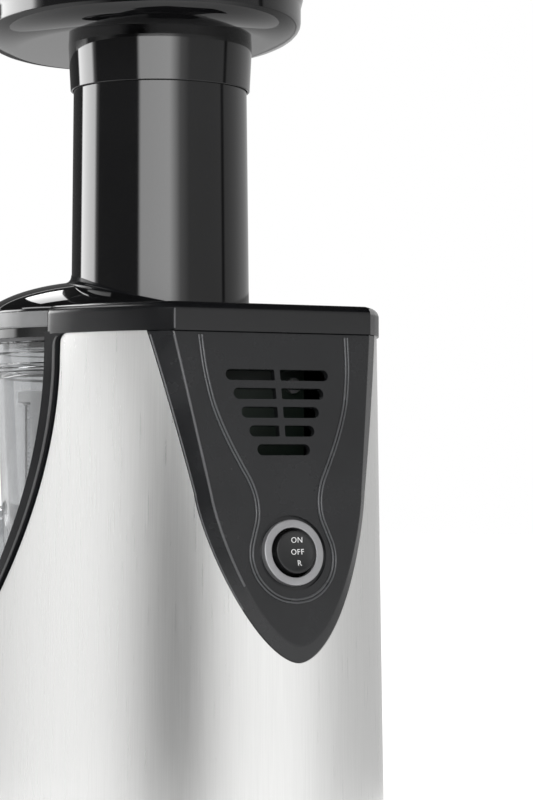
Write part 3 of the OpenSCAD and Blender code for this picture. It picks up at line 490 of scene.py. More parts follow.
screenSet = {
    # what the glossy faces see all round, as (angle to the right of the camera, light level)
    "lowScreen": {"low": -20, "high": 308, "levels": [
        (-180, 0.6), (-125, 0.75), (-100, 1.0), (-66, 1.1), (-50, 0.75), (-37, 0.04), (-19, 0.04),
        (-9, 0.72), (12, 1.05), (48, 1.08), (66, 0.84), (90, 0.57), (180, 0.55)]},
    "rimScreen": {"low": 308, "high": 345, "levels": [
        (-180, 0.12), (-128, 0.12), (-126, 3.5), (-104, 3.5), (-98, 0.3), (-88, 0.35), (-76, 0.8),
        (-68, 0.85), (-52, 0.15), (-37, 0.04), (-19, 0.04), (-9, 0.6), (12, 0.9), (48, 0.9), (66, 0.8),
        (90, 0.4), (180, 0.3)]},
    "highScreen": {"low": 345, "high": 640, "levels": [
        (-180, 0.12), (-122, 0.12), (-120, 8.0), (-93, 8.0), (-89, 1.2), (-84, 0.15), (-27, 0.15),
        (-23, 5.6), (14, 6.2), (28, 1.5), (40, 0.65), (88, 0.58), (90, 0.1), (93, 0.1), (95, 0.55),
        (130, 0.75), (180, 0.6)]},
}
ceilingSet = {"height": 660, "radius": 800, "gap": 5, "strips": {
    # name: towards the camera, to its right, length, width, turn, strength
    "ceilingStrip": (-400, -205, 400, 100, 0, 5.5),
    "ceilingSide": (-34, -370, 330, 110, 33.5, 5.0)}}

floorSet = {
    # the radius and the two distances of the glow are in metres
    "radius": 6, "shade": 0.9, "glowFrom": 0.15, "glowTo": 1.3, "nearGlow": 0.35, "farGlow": 0.8,
}
worldSet = {"lighting": 0.35, "seen": 1.0}


def stageSpot(angle, distance, height):
    # a place round the object, by its angle to the right of the camera
    turn = math.radians(cameraSet["turn"] + angle)
    return Vector((distance * math.cos(turn), distance * math.sin(turn), height)) * mm


def makeCamera():
    deselect()
    bpy.ops.object.camera_add(location=Vector(cameraSet["place"]) * mm)
    camera = bpy.context.object
    camera.name = "viewCamera"
    camera.rotation_mode = "QUATERNION"
    camera.rotation_quaternion = Vector(cameraSet["towards"]).to_track_quat("-Z", "Y")
    camera.data.sensor_width = 36
    camera.data.lens = cameraSet["lens"]
    camera.data.shift_y = cameraSet["shift"]
    camera.data.clip_start = 0.01
    camera.data.clip_end = 60
    scene.camera = camera


def makeLights():
    for name, (angle, distance, height, width, length, strength) in lightSet.items():
        deselect()
        bpy.ops.object.light_add(type="AREA", location=stageSpot(angle, distance, height))
        lamp = bpy.context.object
        lamp.name = name
        lamp.data.shape = "RECTANGLE"
        lamp.data.size = width * mm
        lamp.data.size_y = length * mm
        lamp.data.energy = strength * math.pi * width * length * mm * mm
        lamp.rotation_mode = "QUATERNION"
        aim = Vector((0, 0, 250)) * mm - lamp.location
        lamp.rotation_quaternion = aim.to_track_quat("-Z", "Y")
        lamp.visible_camera = False
        lamp.visible_glossy = False


def makeScreens():
    # tall rings of graded light that only glossy rays see
    for name, v in screenSet.items():
        deselect()
        low, high = v["low"], v["high"]
        bpy.ops.mesh.primitive_cylinder_add(vertices=192, end_fill_type="NOTHING",
                                            radius=ceilingSet["radius"] * mm, depth=(high - low) * mm,
                                            location=(0, 0, (low + high) / 2 * mm),
                                            rotation=(0, 0, math.radians(cameraSet["turn"])))
        screen = bpy.context.object
        screen.name = name
        sheet = Finish(name, (0, 0, 0), 1.0)
        x = sheet.add("SeparateXYZ", {}, {0: sheet.add("TexCoord", output="Object")})
        share = sheet.calc("ARCTAN2", x.output("Y"), x) * (1 / (2 * math.pi)) + 0.5
        stops = [((angle + 180) / 360, level / 10) for angle, level in v["levels"]]
        graded = sheet.add("ValToRGB", {"stops": stops}, {0: share})
        sheet.surface(sheet.add("Emission", {}, {"Color": graded, "Strength": 10.0}))
        showInGlossOnly(screen, sheet.material)


def makeCeiling():
    # a dark lid over the screens, with bright strips for the dome and the cap's edge to mirror
    v = ceilingSet
    deselect()
    bpy.ops.mesh.primitive_circle_add(vertices=96, radius=v["radius"] * mm, fill_type="NGON",
                                      location=(0, 0, v["height"] * mm))
    ceiling = bpy.context.object
    ceiling.name = "darkCeiling"
    showInGlossOnly(ceiling, Finish("darkCeiling", (0.02, 0.02, 0.02), 1.0).material)
    facing = Matrix.Translation((0, 0, (v["height"] - v["gap"]) * mm)) \
        @ Matrix.Rotation(math.radians(cameraSet["turn"]), 4, "Z")
    for name, (ahead, right, long, wide, turn, level) in v["strips"].items():
        deselect()
        bpy.ops.mesh.primitive_plane_add(size=1, location=(0, 0, 0))
        strip = bpy.context.object
        strip.name = name
        place(strip, facing @ Matrix.Translation(Vector((ahead, right, 0)) * mm)
              @ Matrix.Rotation(math.radians(turn), 4, "Z") @ Matrix.Diagonal((long * mm, wide * mm, 1, 1)))
        bright = Finish(name, (0, 0, 0), 1.0)
        bright.surface(bright.add("Emission", {}, {"Color": (1, 1, 1, 1), "Strength": level}))
        showInGlossOnly(strip, bright.material)


def showInGlossOnly(obj, material):
    obj.data.materials.append(material)
    for ray in ("camera", "diffuse", "transmission", "shadow", "volume_scatter"):
        setattr(obj, "visible_" + ray, False)


def makeFloor():
    v = floorSet
    deselect()
    bpy.ops.mesh.primitive_circle_add(vertices=96, radius=v["radius"], fill_type="NGON", location=(0, 0, 0))
    floor = bpy.context.object
    floor.name = "studioFloor"
    sheet = Finish("studioFloorWhite", (v["shade"],) * 3, 0.9)
    rays = sheet.add("LightPath", output="Is Camera Ray")
    seen = rays + rays.output("Is Glossy Ray") + rays.output("Is Transmission Ray")
    capped = sheet.calc("MINIMUM", seen, 1.0)
    # the glow grows away from the object, so that its shadow stays and the far floor is white
    spot = sheet.add("TexCoord", output="Object")
    distance = sheet.add("VectorMath", {"operation": "LENGTH"}, {0: spot}, output="Value")
    level = sheet.add("MapRange", {"clamp": True}, {
        "Value": distance, "From Min": v["glowFrom"], "From Max": v["glowTo"],
        "To Min": v["nearGlow"], "To Max": v["farGlow"]})
    glow = sheet.add("Emission", {}, {"Strength": capped * level})
    sheet.surface(sheet.add("AddShader", {}, {0: Wire(sheet, sheet.shader.outputs[0]), 1: glow}))
    floor.data.materials.append(sheet.material)


def makeWorld():
    world = bpy.data.worlds.new("studioWorld")
    scene.world = world
    world.use_nodes = True
    tree = world.node_tree
    back = tree.nodes["Background"]
    back.inputs["Color"].default_value = (1, 1, 1, 1)
    rays = tree.nodes.new("ShaderNodeLightPath")
    total = rays.outputs["Is Camera Ray"]
    for name in ("Is Glossy Ray", "Is Transmission Ray"):
        node = tree.nodes.new("ShaderNodeMath")
        node.operation = "MAXIMUM"
        tree.links.new(total, node.inputs[0])
        tree.links.new(rays.outputs[name], node.inputs[1])
        total = node.outputs[0]
    level = tree.nodes.new("ShaderNodeMapRange")
    level.inputs["To Min"].default_value = worldSet["lighting"]
    level.inputs["To Max"].default_value = worldSet["seen"]
    tree.links.new(total, level.inputs["Value"])
    tree.links.new(level.outputs[0], back.inputs["Strength"])


scene.view_settings.view_transform = "Standard"
makeCamera()
makeLights()
makeScreens()
makeCeiling()
makeFloor()
makeWorld()
print("camera, lights and floor are set")


# the body's oval plan and swept front edge, shared by several pieces

bodySet = {
    "halfWidth": 68.3, "rear": 98.5, "front": 100,       # at the top edge
    "flare": 4,                                          # how much the foot is wider
    "foot": 14, "top": 275, "segments": 288,
    "sweepRadius": 106, "columnEdge": 32, "platform": 162, "trim": 7.8,
}
topZ = bodySet["top"]


def flare(z):
    return bodySet["flare"] * (topZ - z) / (topZ - bodySet["foot"])


def ovalShell(name, grow, low, high, wall):
    # an oval tube, wider at its foot, with its wall inwards
    deselect()
    bpy.ops.mesh.primitive_cylinder_add(vertices=bodySet["segments"], radius=1 * mm, depth=2 * mm,
                                        end_fill_type="NOTHING", location=(0, 0, 0))
    obj = bpy.context.object
    obj.name = name
    edit(obj)
    # the high rim first, so that only the low one is left below
    for height, side in ((high, 1), (low, -1)):
        wide, rear, front = [bodySet[k] + grow + flare(height) for k in ("halfWidth", "rear", "front")]
        selectWhere(obj, lambda p: p.z * side > 0)
        bpy.ops.transform.resize(value=(wide, rear, 1), center_override=(0, 0, 0))
        selectWhere(obj, lambda p: p.z * side > 0 and p.y < 0)
        bpy.ops.transform.resize(value=(1, front / rear, 1), center_override=(0, 0, 0))
        selectWhere(obj, lambda p: p.z * side > 0)
        bpy.ops.transform.translate(value=(0, bodyY * mm, (height - side) * mm))
    done()
    tidyMesh(obj)
    addModifier(obj, "SOLIDIFY", thickness=wall * mm, offset=-1)
    return obj


def arc(centreY, centreZ, radius, start, stop, count):
    turns = [math.radians(start + (stop - start) * i / count) for i in range(count + 1)]
    return [(centreY + radius * math.cos(t), centreZ + radius * math.sin(t)) for t in turns]


def sweepCutter(name, radius, corner=0):
    # all that lies in front of the swept edge; corner rounds the place where it meets the cap
    centreY = bodyY + bodySet["columnEdge"] - bodySet["sweepRadius"]
    centreZ = bodySet["platform"] + bodySet["sweepRadius"]
    line = arc(centreY, centreZ, radius, -90, -3, 60)
    edgeY = centreY + radius
    if corner:
        line = [p for p in line if p[1] < topZ - corner - 1]
        line += arc(edgeY + corner, topZ - corner, corner, 180, 90, 8)
        line += [(edgeY + corner, topZ + 60)]
    else:
        line += [(edgeY, centreZ), (edgeY, topZ + 60)]
    line += [(centreY - 160, topZ + 60), (centreY - 160, centreZ - radius)]
    return prism(name, [(-110, y, z) for y, z in line], (220, 0, 0))


panelSet = {
    "top": 38.6, "knee": 29.3, "kneeDrop": 56, "length": 108,
    "bevelTop": 6.4, "bevelSide": 4.1, "bevelTip": 5.7,
    "inset": 17, "proud": 1.2, "switchDrop": 76.3,
    "steps": (36, 44),                       # to the knee, and on to the tip
}
panelSlope = (panelSet["inset"] + panelSet["proud"] + flare(topZ - panelSet["length"])) / panelSet["length"]
panelTilt = math.atan(panelSlope)
backY = bodyY + bodySet["rear"]


def panelFaceY(drop):
    return backY - panelSet["inset"] + panelSlope * drop


def panelOutline(grow, tipGrow, sideGrow):
    # half width against the drop from the steel's top edge, mirrored to a closed outline
    knee, tip = panelSet["kneeDrop"], panelSet["length"] + tipGrow
    topHalf, kneeHalf, steps = panelSet["top"] + grow, panelSet["knee"] + sideGrow, panelSet["steps"]
    half = [(topHalf + (kneeHalf - topHalf) * i / steps[0], knee * i / steps[0]) for i in range(steps[0])]
    for i in range(steps[1] + 1):
        drop = knee + (tip - knee) * math.sin(math.pi / 2 * i / steps[1])
        share = (drop - knee) / (tip - knee)
        half.append((kneeHalf * max(0.0, 1 - share ** 1.3) ** 0.57, drop))
    return half + [(-x, d) for x, d in reversed(half[:-1])]


def bodyBack(x, z):
    grow = flare(z)
    return bodyY + (bodySet["rear"] + grow) * math.sqrt(max(0, 1 - (x / (bodySet["halfWidth"] + grow)) ** 2))


def onPanel(drop):
    # a frame on the flat face: X to a viewer's right, Y up the face, Z out of it
    s, c = math.sin(panelTilt), math.cos(panelTilt)
    return Matrix(((-1, 0, 0, 0), (0, -s, c, panelFaceY(drop) * mm),
                   (0, c, s, (topZ - drop) * mm), (0, 0, 0, 1)))


def rimGrown(extra):
    return panelOutline(*(panelSet[k] + extra for k in ("bevelTop", "bevelTip", "bevelSide")))


steelSet = {"wall": 1, "corner": 3.2, "panelGap": 0.15, "gland": 8.05, "glandZ": 34}


def makeSteel():
    v = steelSet
    obj = ovalShell("steelBody", 0, bodySet["foot"], topZ, v["wall"])
    cut(obj, sweepCutter("sweepTool", bodySet["sweepRadius"] + bodySet["trim"], v["corner"]),
        prism("panelTool", [(x, bodyY + 30, topZ - d) for x, d in rimGrown(v["panelGap"])], (0, 120, 0)))
    gland = rod("glandTool", v["gland"], -40, 40, 0, 0)
    place(gland, Matrix.Translation((0, backY * mm, v["glandZ"] * mm)) @ Matrix.Rotation(math.pi / 2, 4, "X"))
    cut(obj, gland)
    finishPiece(obj, "housing", "brushed_steel", ["steel_wrap"], 35)


trimSet = {
    # growth past the oval, height past the steel's top, wall, outer and inner edge past the sweep's radius
    # with the round corner of each, rounding, finish, and what the strip replaces
    "frontTrim": (0.75, 0.8, 1.9, (bodySet["trim"] - 1, 4), (0, 0), 0.5, "trim_black", ["front_trim"]),
    "trimRidge": (1.1, -1, 0.8, (bodySet["trim"] - 1.5, 4), (bodySet["trim"] - 2.7, 4.6), 0.3,
                  "trim_ridge", []),
    "trimGap": (-0.9, 0, 0.3, (bodySet["trim"] + 0.3, 3), (0.6, 0), 0, "trim_black", []),
}


def makeTrim():
    # the black strip, the low ridge along it, and the sunk strip between it and the steel
    for name, (grow, over, wall, outer, inner, rounding, look, replaced) in trimSet.items():
        obj = ovalShell(name, grow, 132, topZ + over, wall)
        outerTool, innerTool = [sweepCutter("trimTool", bodySet["sweepRadius"] + past, corner)
                                for past, corner in (outer, inner)]
        cut(obj, outerTool, operation="INTERSECT")
        cut(obj, innerTool)
        if rounding:
            roundEdges(obj, rounding, 3, 40)
        finishPiece(obj, "housing", "satin_black", replaced, 35, look)


makeSteel()
makeTrim()
print("steel body and trim are made")


# top cap

capSet = {"low": topZ, "high": 285, "over": 0.8, "corner": 3.0, "front": 2.2, "flatOver": 0.8, "crease": 0.35}


def capOutline():
    # oval plan cut by the column's front edge, the flat back and its two bevels
    wide, rear = bodySet["halfWidth"] + capSet["over"], bodySet["rear"] + capSet["over"]
    flatY = backY - panelSet["inset"] + capSet["flatOver"]
    points, steps = [], 60
    start = math.asin(bodySet["columnEdge"] / rear)
    for i in range(steps + 1):
        turn = start + (math.pi / 2 - start) * i / steps
        x, y = wide * math.cos(turn), bodyY + rear * math.sin(turn)
        pastBevel = x - panelSet["top"] + (y - flatY) > 0       # the bevel's line runs out at 45 degrees
        if pastBevel or (y > flatY and x < panelSet["top"]):
            break
        points.append((x, y))
    # a round front corner
    corner = Vector(points[0])
    points = [p for p in points if (Vector(p) - corner).length > capSet["front"]]
    first, last = corner - Vector((capSet["front"], 0)), Vector(points[0])
    rounded = [tuple(first.lerp(corner, t).lerp(corner.lerp(last, t), t)) for t in (0, 0.2, 0.4, 0.6, 0.8)]
    # the straight bevel runs from the oval to the flat back
    points = rounded + points + [(panelSet["top"], flatY)]
    return points + [(-x, y) for x, y in reversed(points)]


def makeCap():
    low, high = capSet["low"], capSet["high"]
    obj = prism("topCap", [(x, y, low) for x, y in capOutline()], (0, 0, high - low))
    edit(obj)
    selectWhere(obj, lambda p: p.z > high - 0.01, "edges")
    bpy.ops.mesh.bevel(offset=capSet["corner"] * mm, segments=7, profile=0.5, affect="EDGES")
    done()
    tidyMesh(obj)
    finishPiece(obj, "housing", "satin_black", ["top_cap"], 28)
    x, y = panelSet["top"] - 0.1, backY - panelSet["inset"] + capSet["flatOver"] - 0.15
    # a lighter bead up the cap's crease, a painted highlight
    crease = makeBead("capCrease", [(x, y, z) for z in (low + 0.6, high - 2.6)], capSet["crease"])
    finishPiece(crease, "housing", "satin_black", [], 50, "painted_highlight_line")


makeCap()
print("top cap is made")


# back panel with its vents and ridge

ventSet = {
    "count": 5, "first": 15, "pitch": 6.48, "height": 3.9,
    "half": 20.1, "step": 2.45, "bridge": 2.2, "corner": 0.5,
}
ridgeSet = {
    "path": [(28.7, 1.5), (28.5, 6), (28.1, 12), (27.3, 18), (25.9, 25), (23.6, 32), (20.4, 39.5),
             (16.9, 46.5), (13.9, 52.5), (12.4, 58.3), (12.5, 64), (14.2, 69.4), (15.8, 74.4), (16, 79.4),
             (14.2, 84.7), (10.3, 89.2), (5.4, 91.9), (0, 92.8)],
    "beads": {"Outer": (-0.55, 0.45), "Inner": (0.55, 0.4)},     # sideways place and radius of each bead
}
lineSet = {
    "from": 0.5, "creaseTo": 88, "creaseOut": -0.32, "creaseRadius": 0.45,
    "edgeTo": 96, "edgeGrow": -0.35, "edgeOut": 0.05, "edgeRadius": 0.35,
}


def onFace(points, out=0.0):
    # panel places (x, drop) as places in space, raised off the flat face
    s, c = math.sin(panelTilt), math.cos(panelTilt)
    return [(x, panelFaceY(d) + out * c, topZ - d + out * s) for x, d in points]


def makePanel():
    crease, rim = panelOutline(0, 0, 0), rimGrown(0)
    obj = drawLine("backPanel", onFace(crease))
    bpy.ops.mesh.select_all(action="SELECT")
    bpy.ops.mesh.edge_face_add()
    done()
    # two more rings, out to the steel and then straight in
    mesh = bmesh.new()
    mesh.from_mesh(obj.data)
    mesh.verts.ensure_lookup_table()
    ring = [min(mesh.verts, key=lambda v: (v.co / mm - Vector(p)).length) for p in onFace(crease)]
    ring = addRing(mesh, ring, [(x, bodyBack(x, topZ - d) + 0.3, topZ - d) for x, d in rim])
    ring = addRing(mesh, ring, [(x, panelFaceY(d) - 14, topZ - d) for x, d in rim])
    mesh.faces.new(ring)
    closeMesh(mesh, obj)
    tidyMesh(obj)
    return obj


def ventCutter(index):
    v = ventSet
    half, high = v["half"] - v["step"] * index, v["height"] / 2
    last = index == v["count"] - 1
    tools = []
    for side in (1,) if last else (1, -1):
        # the outer end is fully round, and the one at the bridge only has round corners
        right = [(half - high + y, z) for y, z in arc(0, 0, high, -90, 90, 16)]
        if last:
            left = [(-x, -y) for x, y in right]
        else:
            inner, small = v["bridge"] / 2, v["corner"]
            left = arc(inner + small, high - small, small, 90, 180, 4)
            left += arc(inner + small, small - high, small, 180, 270, 4)
        tool = prism("ventTool", [(side * x, y, -9) for x, y in right + left], (0, 0, 12))
        place(tool, onPanel(v["first"] + v["pitch"] * index))
        tools.append(tool)
    return tools


def smoothPath(points, each=8):
    # a rounded line through the given places
    out = []
    for i in range(len(points) - 1):
        p = [Vector(points[max(0, min(len(points) - 1, k))]) for k in (i - 1, i, i + 1, i + 2)]
        for step in range(each):
            t = step / each
            out.append(0.5 * (2 * p[1] + (p[2] - p[0]) * t + (2 * p[0] - 5 * p[1] + 4 * p[2] - p[3]) * t * t
                              + (3 * p[1] - p[0] - 3 * p[2] + p[3]) * t ** 3))
    return out + [Vector(points[-1])]


def makeRidge(name, shift, radius, out):
    half = smoothPath(ridgeSet["path"])
    whole = [(p.x, p.y) for p in half] + [(-p.x, p.y) for p in reversed(half[:-1])]
    line = []
    for i, point in enumerate(whole):
        before, after = whole[max(0, i - 1)], whole[min(len(whole) - 1, i + 1)]
        along = (Vector(after) - Vector(before)).normalized()
        line.append((point[0] + along.y * shift, point[1] - along.x * shift))
    return makeBead(name, onFace(line, out), radius)


def makeBackPanel():
    obj = makePanel()
    roundEdges(obj, 0.5, 3, 12)
    inside = [(x, bodyY + 20, topZ - d) for x, d in panelOutline(-2.5, -6, -2.5)]
    cavity = prism("cavityTool", inside, (0, 110, 0))
    behind = onFace([(60, -10), (60, 130), (-60, 130), (-60, -10)], -2.5)
    cut(cavity, prism("cavityLid", behind, (0, 60, 60 * panelSlope)))
    cut(obj, cavity)
    for index in range(ventSet["count"]):
        cut(obj, *ventCutter(index))
    ring = rod("ringTool", 11.55, -16, 6, 0, 0, 128)
    groove = lathe("grooveTool", [(10.6, -1), (13, -1), (13, 4), (10.6, 4)], 0, 0)
    for tool in (ring, groove):
        place(tool, onPanel(panelSet["switchDrop"]))
    cut(obj, ring, groove)
    finishPiece(obj, "housing", "charcoal", ["back_panel"], 25)
    for tag, (shift, radius) in ridgeSet["beads"].items():
        # the ridge beads take a lighter grey, a painted highlight
        ridge = makeRidge("panelRidge" + tag, shift, radius, 0.15)
        finishPiece(ridge, "housing", "charcoal", [], 50, "painted_highlight_ridge")
    # painted highlights: lighter beads along the crease and the panel's edge, on the side towards the
    # camera's left
    v = lineSet
    line = [(x, d) for x, d in panelOutline(0, 0, 0) if x > 0 and v["from"] < d < v["creaseTo"]]
    crease = makeBead("panelCrease", onFace(line, v["creaseOut"]), v["creaseRadius"])
    edge = [(x, bodyBack(x, topZ - d) + v["edgeOut"], topZ - d) for x, d in rimGrown(v["edgeGrow"])
            if x > 0 and v["from"] < d < v["edgeTo"]]
    for bead in (crease, makeBead("panelEdge", edge, v["edgeRadius"])):
        finishPiece(bead, "housing", "charcoal", [], 50, "painted_highlight_line")


makeBackPanel()
print("back panel is made")


# switch

switchSet = {
    "drop": panelSet["switchDrop"], "ring": 11.5, "hole": 8.6, "rise": 1.2, "foot": -1.4,
    "key": 7.45, "keyTop": 2.6, "dish": 0.75, "dishShare": 0.94, "letters": 2.0,
    "words": {"ON": (0.8, 4.05), "OFF": (0.8, -0.05), "R": (1.1, -3.95)},
}


def keyFace(away):
    # height of the key's dished face, by the distance from its middle
    v = switchSet
    return v["keyTop"] - v["dish"] * (1 - min(1, away / (v["key"] * v["dishShare"])) ** 2)


def makeSwitch():
    v = switchSet
    outer, hole, rise, foot, r, top = [v[k] for k in ("ring", "hole", "rise", "foot", "key", "keyTop")]
    ring = lathe("switchRing", [(hole, foot), (outer, foot), (outer, rise - 0.5), (outer - 0.15, rise - 0.15),
                                (outer - 0.5, rise), (hole + 0.45, rise), (hole + 0.12, rise - 0.12),
                                (hole, rise - 0.45)], 0, 0)
    place(ring, onPanel(v["drop"]))
    finishPiece(ring, "housing", "silver_ring", ["switch_bezel"], 40)
    dish = [(away, keyFace(away) - 0.02) for away in (r * i / 10 * v["dishShare"] for i in range(10, -1, -1))]
    key = lathe("rockerKey", [(0, top - 7.5), (5.5, top - 7.5), (5.5, top - 7.2), (r, top - 7.2),
                              (r, top - 0.45), (r - 0.13, top - 0.13)] + dish, 0, 0, closed=False)
    place(key, onPanel(v["drop"]))
    finishPiece(key, "rocker", "rocker_black", ["switch_rocker"], 35)
    for text, (x, up) in v["words"].items():
        deselect()
        bpy.ops.object.text_add(location=(0, 0, 0))
        words = bpy.context.object
        words.name = "letters" + text
        words.data.body = text
        words.data.size = v["letters"] / 0.73 * mm       # a capital is 0.73 of the size
        words.data.align_x = "CENTER"
        words.data.align_y = "CENTER"
        words.data.extrude = 0.05 * mm
        words.data.space_character = 1.1
        bpy.ops.object.convert(target="MESH")
        place(words, Matrix.Translation((x * mm, up * mm, 0)))
        for vert in words.data.vertices:     # follows the hollow of the key
            away = Vector((vert.co.x, vert.co.y)).length / mm
            vert.co.z += (keyFace(away) + 0.02) * mm
        place(words, onPanel(v["drop"]))
        finishPiece(words, "rocker", "rocker_black", look="letters")


makeSwitch()
print("switch is made")


# lid with its feed tube

lidSet = {
    "seat": 276.5, "skirtLow": 280, "skirtHigh": 286.5, "radius": 54.5, "dome": 13.5, "neck": 52.6,
    "plug": 47.1, "floor": 272.5, "wall": 2.4, "chute": 2.2, "bore": 6.52, "bossLow": 254.5, "boss": 9,
    "tubeFoot": 34.3, "tubeTop": 33.2, "tubeWall": 3, "tubeHigh": 386, "band": 1.0,
    "steps": 160, "domeSteps": 40,
}
filletSet = {
    "wide": 2.7, "least": 0.3, "count": 144, "steps": 8, "rimGap": 0.7, "inside": 0.4,
    "narrowOver": 42, "narrowTo": 47,      # degrees round the tube, on the side where the dome's edge is near
}
def domeRise(share):
    # the dome's height as a share of its rise, by the share of its radius
    return max(0.0, 1 - min(1, share) ** 2.5) ** 0.7


def domeLine(edge, rise, base):
    count = lidSet["domeSteps"]
    reach = [edge * math.cos(math.pi / 2 * i / count) for i in range(count + 1)]
    return [(r, base + rise * domeRise(r / edge)) for r in reach]


def domeHeight(r):
    return lidSet["skirtHigh"] + lidSet["dome"] * domeRise(r / lidSet["radius"])


def filletRow(aside, ahead):
    # one section of the hollow curve, in the given direction from the tube's axis
    v, foot, low = filletSet, lidSet["tubeFoot"], lidSet["skirtHigh"] - 2

    def spot(reach, z):
        return (tubeX + aside * reach, tubeY + ahead * reach, z)

    def away(reach):
        return math.hypot(tubeX + aside * reach, tubeY + ahead * reach - axisY)

    turn = math.degrees(math.atan2(ahead, aside))
    share = min(1, max(0, (v["narrowTo"] - turn) / v["narrowOver"]))
    wide = v["least"] + (v["wide"] - v["least"]) * share
    while wide > 0.2 and away(foot + wide) > lidSet["radius"] - v["rimGap"]:
        wide -= 0.1
    near, far = domeHeight(away(foot)), domeHeight(away(foot + wide))
    row = [spot(foot + wide - 0.1, low)]
    for k in range(v["steps"] + 1):
        t = k / v["steps"]
        row.append(spot((1 - t) ** 2 * (foot + wide) + (1 - (1 - t) ** 2) * foot,
                        (1 - t) ** 2 * (far - 0.05) + 2 * t * (1 - t) * near + t * t * (near + wide)))
    return row + [spot(foot - v["inside"], near + wide), spot(foot - v["inside"], low)]


def makeFillet():
    # the hollow curve between the dome and the tube, narrow where the tube stands over the dome's edge
    count, foot = filletSet["count"], lidSet["tubeFoot"]
    turns = [2 * math.pi * i / count for i in range(count)]
    low = lidSet["skirtHigh"] - 2
    obj = drawLine("tubeFillet", [(tubeX + foot * math.cos(t), tubeY + foot * math.sin(t), low)
                                  for t in turns])
    done()
    mesh = bmesh.new()
    mesh.from_mesh(obj.data)
    first = sortedRing(mesh, tubeX, tubeY)
    rows = [filletRow((vert.co.x / mm - tubeX) / foot, (vert.co.y / mm - tubeY) / foot) for vert in first]
    for vert, row in zip(first, rows):
        vert.co = Vector(row[0]) * mm
    for edge in list(mesh.edges):
        mesh.edges.remove(edge)
    ring = first
    for k in range(1, len(rows[0])):
        ring = addRing(mesh, ring, [row[k] for row in rows])
    bridge(mesh, ring, first)
    closeMesh(mesh, obj)
    tidyMesh(obj)
    return obj


def makeDome():
    v = lidSet
    base, low, core, steps = v["skirtHigh"], v["floor"], v["radius"] - v["band"], v["steps"]
    bore, hole = v["plug"] - v["chute"], v["tubeFoot"] - v["tubeWall"]
    inner = [p for p in domeLine(v["radius"] - v["wall"], v["dome"] - v["wall"], base) if p[0] < bore]
    profile = [(0, low), (v["plug"], low), (v["plug"], v["seat"]), (v["neck"], v["seat"]),
               (v["neck"], v["skirtLow"]), (core, v["skirtLow"]), (core, base - 0.5),
               (v["radius"], base - 0.5), (v["radius"], base - 0.3)]
    obj = lathe("lidDome", profile + domeLine(v["radius"], v["dome"], base)[1:], steps=steps, closed=False)
    cut(obj, lathe("lidHollow", [(0, low + 3), (bore, low + 3)] + inner, steps=steps, closed=False))
    feed = rod("feedTool", hole - 0.9, low - 2, low + 4, tubeX, tubeY, 128)
    cut(feed, rod("feedTrim", bore - 1.1, low - 3, low + 6, verts=128), operation="INTERSECT")
    edge = [(-60, axisY + 10.5), (60, axisY + 10.5), (60, axisY - 60), (-60, axisY - 60)]
    cut(feed, prism("feedEdge", [(x, y, low - 5) for x, y in edge], (0, 0, 12)))
    cut(obj, feed, rod("boreTool", hole + 0.4, base - 2, base + 40, tubeX, tubeY, steps))
    cut(obj, rod("pinTool", v["bore"], low - 20, low + 1.2))
    roundEdges(obj, 0.3, 2, 50)
    finishPiece(obj, "lid", "gloss_black", ["lid"], 30)
    # the skirt band is gloss black, with a painted reflection in its mid grey
    band = lathe("lidSkirt", [(core + 0.02, v["skirtLow"]), (v["radius"] - 0.5, v["skirtLow"]),
                              (v["radius"], v["skirtLow"] + 0.5), (v["radius"], base - 0.6),
                              (core + 0.02, base - 0.6)], steps=steps)
    finishPiece(band, "lid", "gloss_black", [], 30, "painted_reflection_skirt")


def makeLid():
    v = lidSet
    makeDome()
    foot, top, wall, low = v["tubeFoot"], v["tubeTop"], v["tubeWall"], v["floor"]
    z0, z1 = v["skirtHigh"] + 2, v["tubeHigh"]
    tube = lathe("feedTube", [(foot - wall, z0), (foot - 0.05, z0), (top, z1 - 1), (top - 0.3, z1 - 0.3),
                              (top - 1, z1), (top - wall + 1, z1), (top - wall + 0.3, z1 - 0.3),
                              (top - wall, z1 - 1)], tubeX, tubeY, v["steps"])
    finishPiece(tube, "lid", "gloss_black", [], 40)
    finishPiece(makeFillet(), "lid", "gloss_black", [], 60, "trim_black")
    boss = lathe("bushBoss", [(v["bore"], v["bossLow"]), (v["boss"], v["bossLow"]), (v["boss"], low + 0.5),
                              (v["bore"], low + 0.5)])
    roundEdges(boss, 0.4, 2)
    finishPiece(boss, "lid", "gloss_black", [], 40)
makeLid()
print("lid is made")


# feed tray and its collar

traySet = {
    "halfWidth": 59, "halfLength": 72, "forward": 5.7, "low": 389, "height": 32, "lip": 5, "swing": 2,
    "wall": 2.6, "roundWide": 14, "roundHigh": 8, "crease": 12.8, "creaseRise": 3.2,
    "collarLow": 372, "collar": 35.4, "collarFoot": 34.5, "gap": 0.5, "count": 144,
}



def trayRings():
    # from the outside of the foot up to the rim and down inside: inset, z, rise to the far end, and swing,
    # which is how much of the rim's own tilt outwards a ring takes
    v = traySet
    low, top, lip, wall = v["low"], v["low"] + v["height"], v["lip"], v["wall"]
    crease = low + v["crease"]

    def rounding(inset, foot):
        turns = [math.pi / 2 * i / 8 for i in range(9)]
        return [(inset + v["roundWide"] * (1 - math.sin(t)), foot + v["roundHigh"] * (1 - math.cos(t)), 0, 0)
                for t in turns]

    outer = [(0, crease - 1.2, 0.95, 0), (-0.25, crease, 1, 0), (-1.0, crease + 2.6, 0.9, 0.15),
             (-lip + 0.1, top - 1.2, 0.05, 0.97), (-lip, top - 0.4, 0, 1)]
    rim = [(-lip + 0.4, top, 0, 1), (-lip + wall - 0.4, top, 0, 1)]
    inner = [(-lip + wall, top - 0.4, 0, 1), (-1.0 + wall, crease + 3, 0.9, 0.15),
             (wall, crease + 0.6, 1, 0)]
    return rounding(0, low) + outer + rim + inner + rounding(wall, low + wall)[::-1]


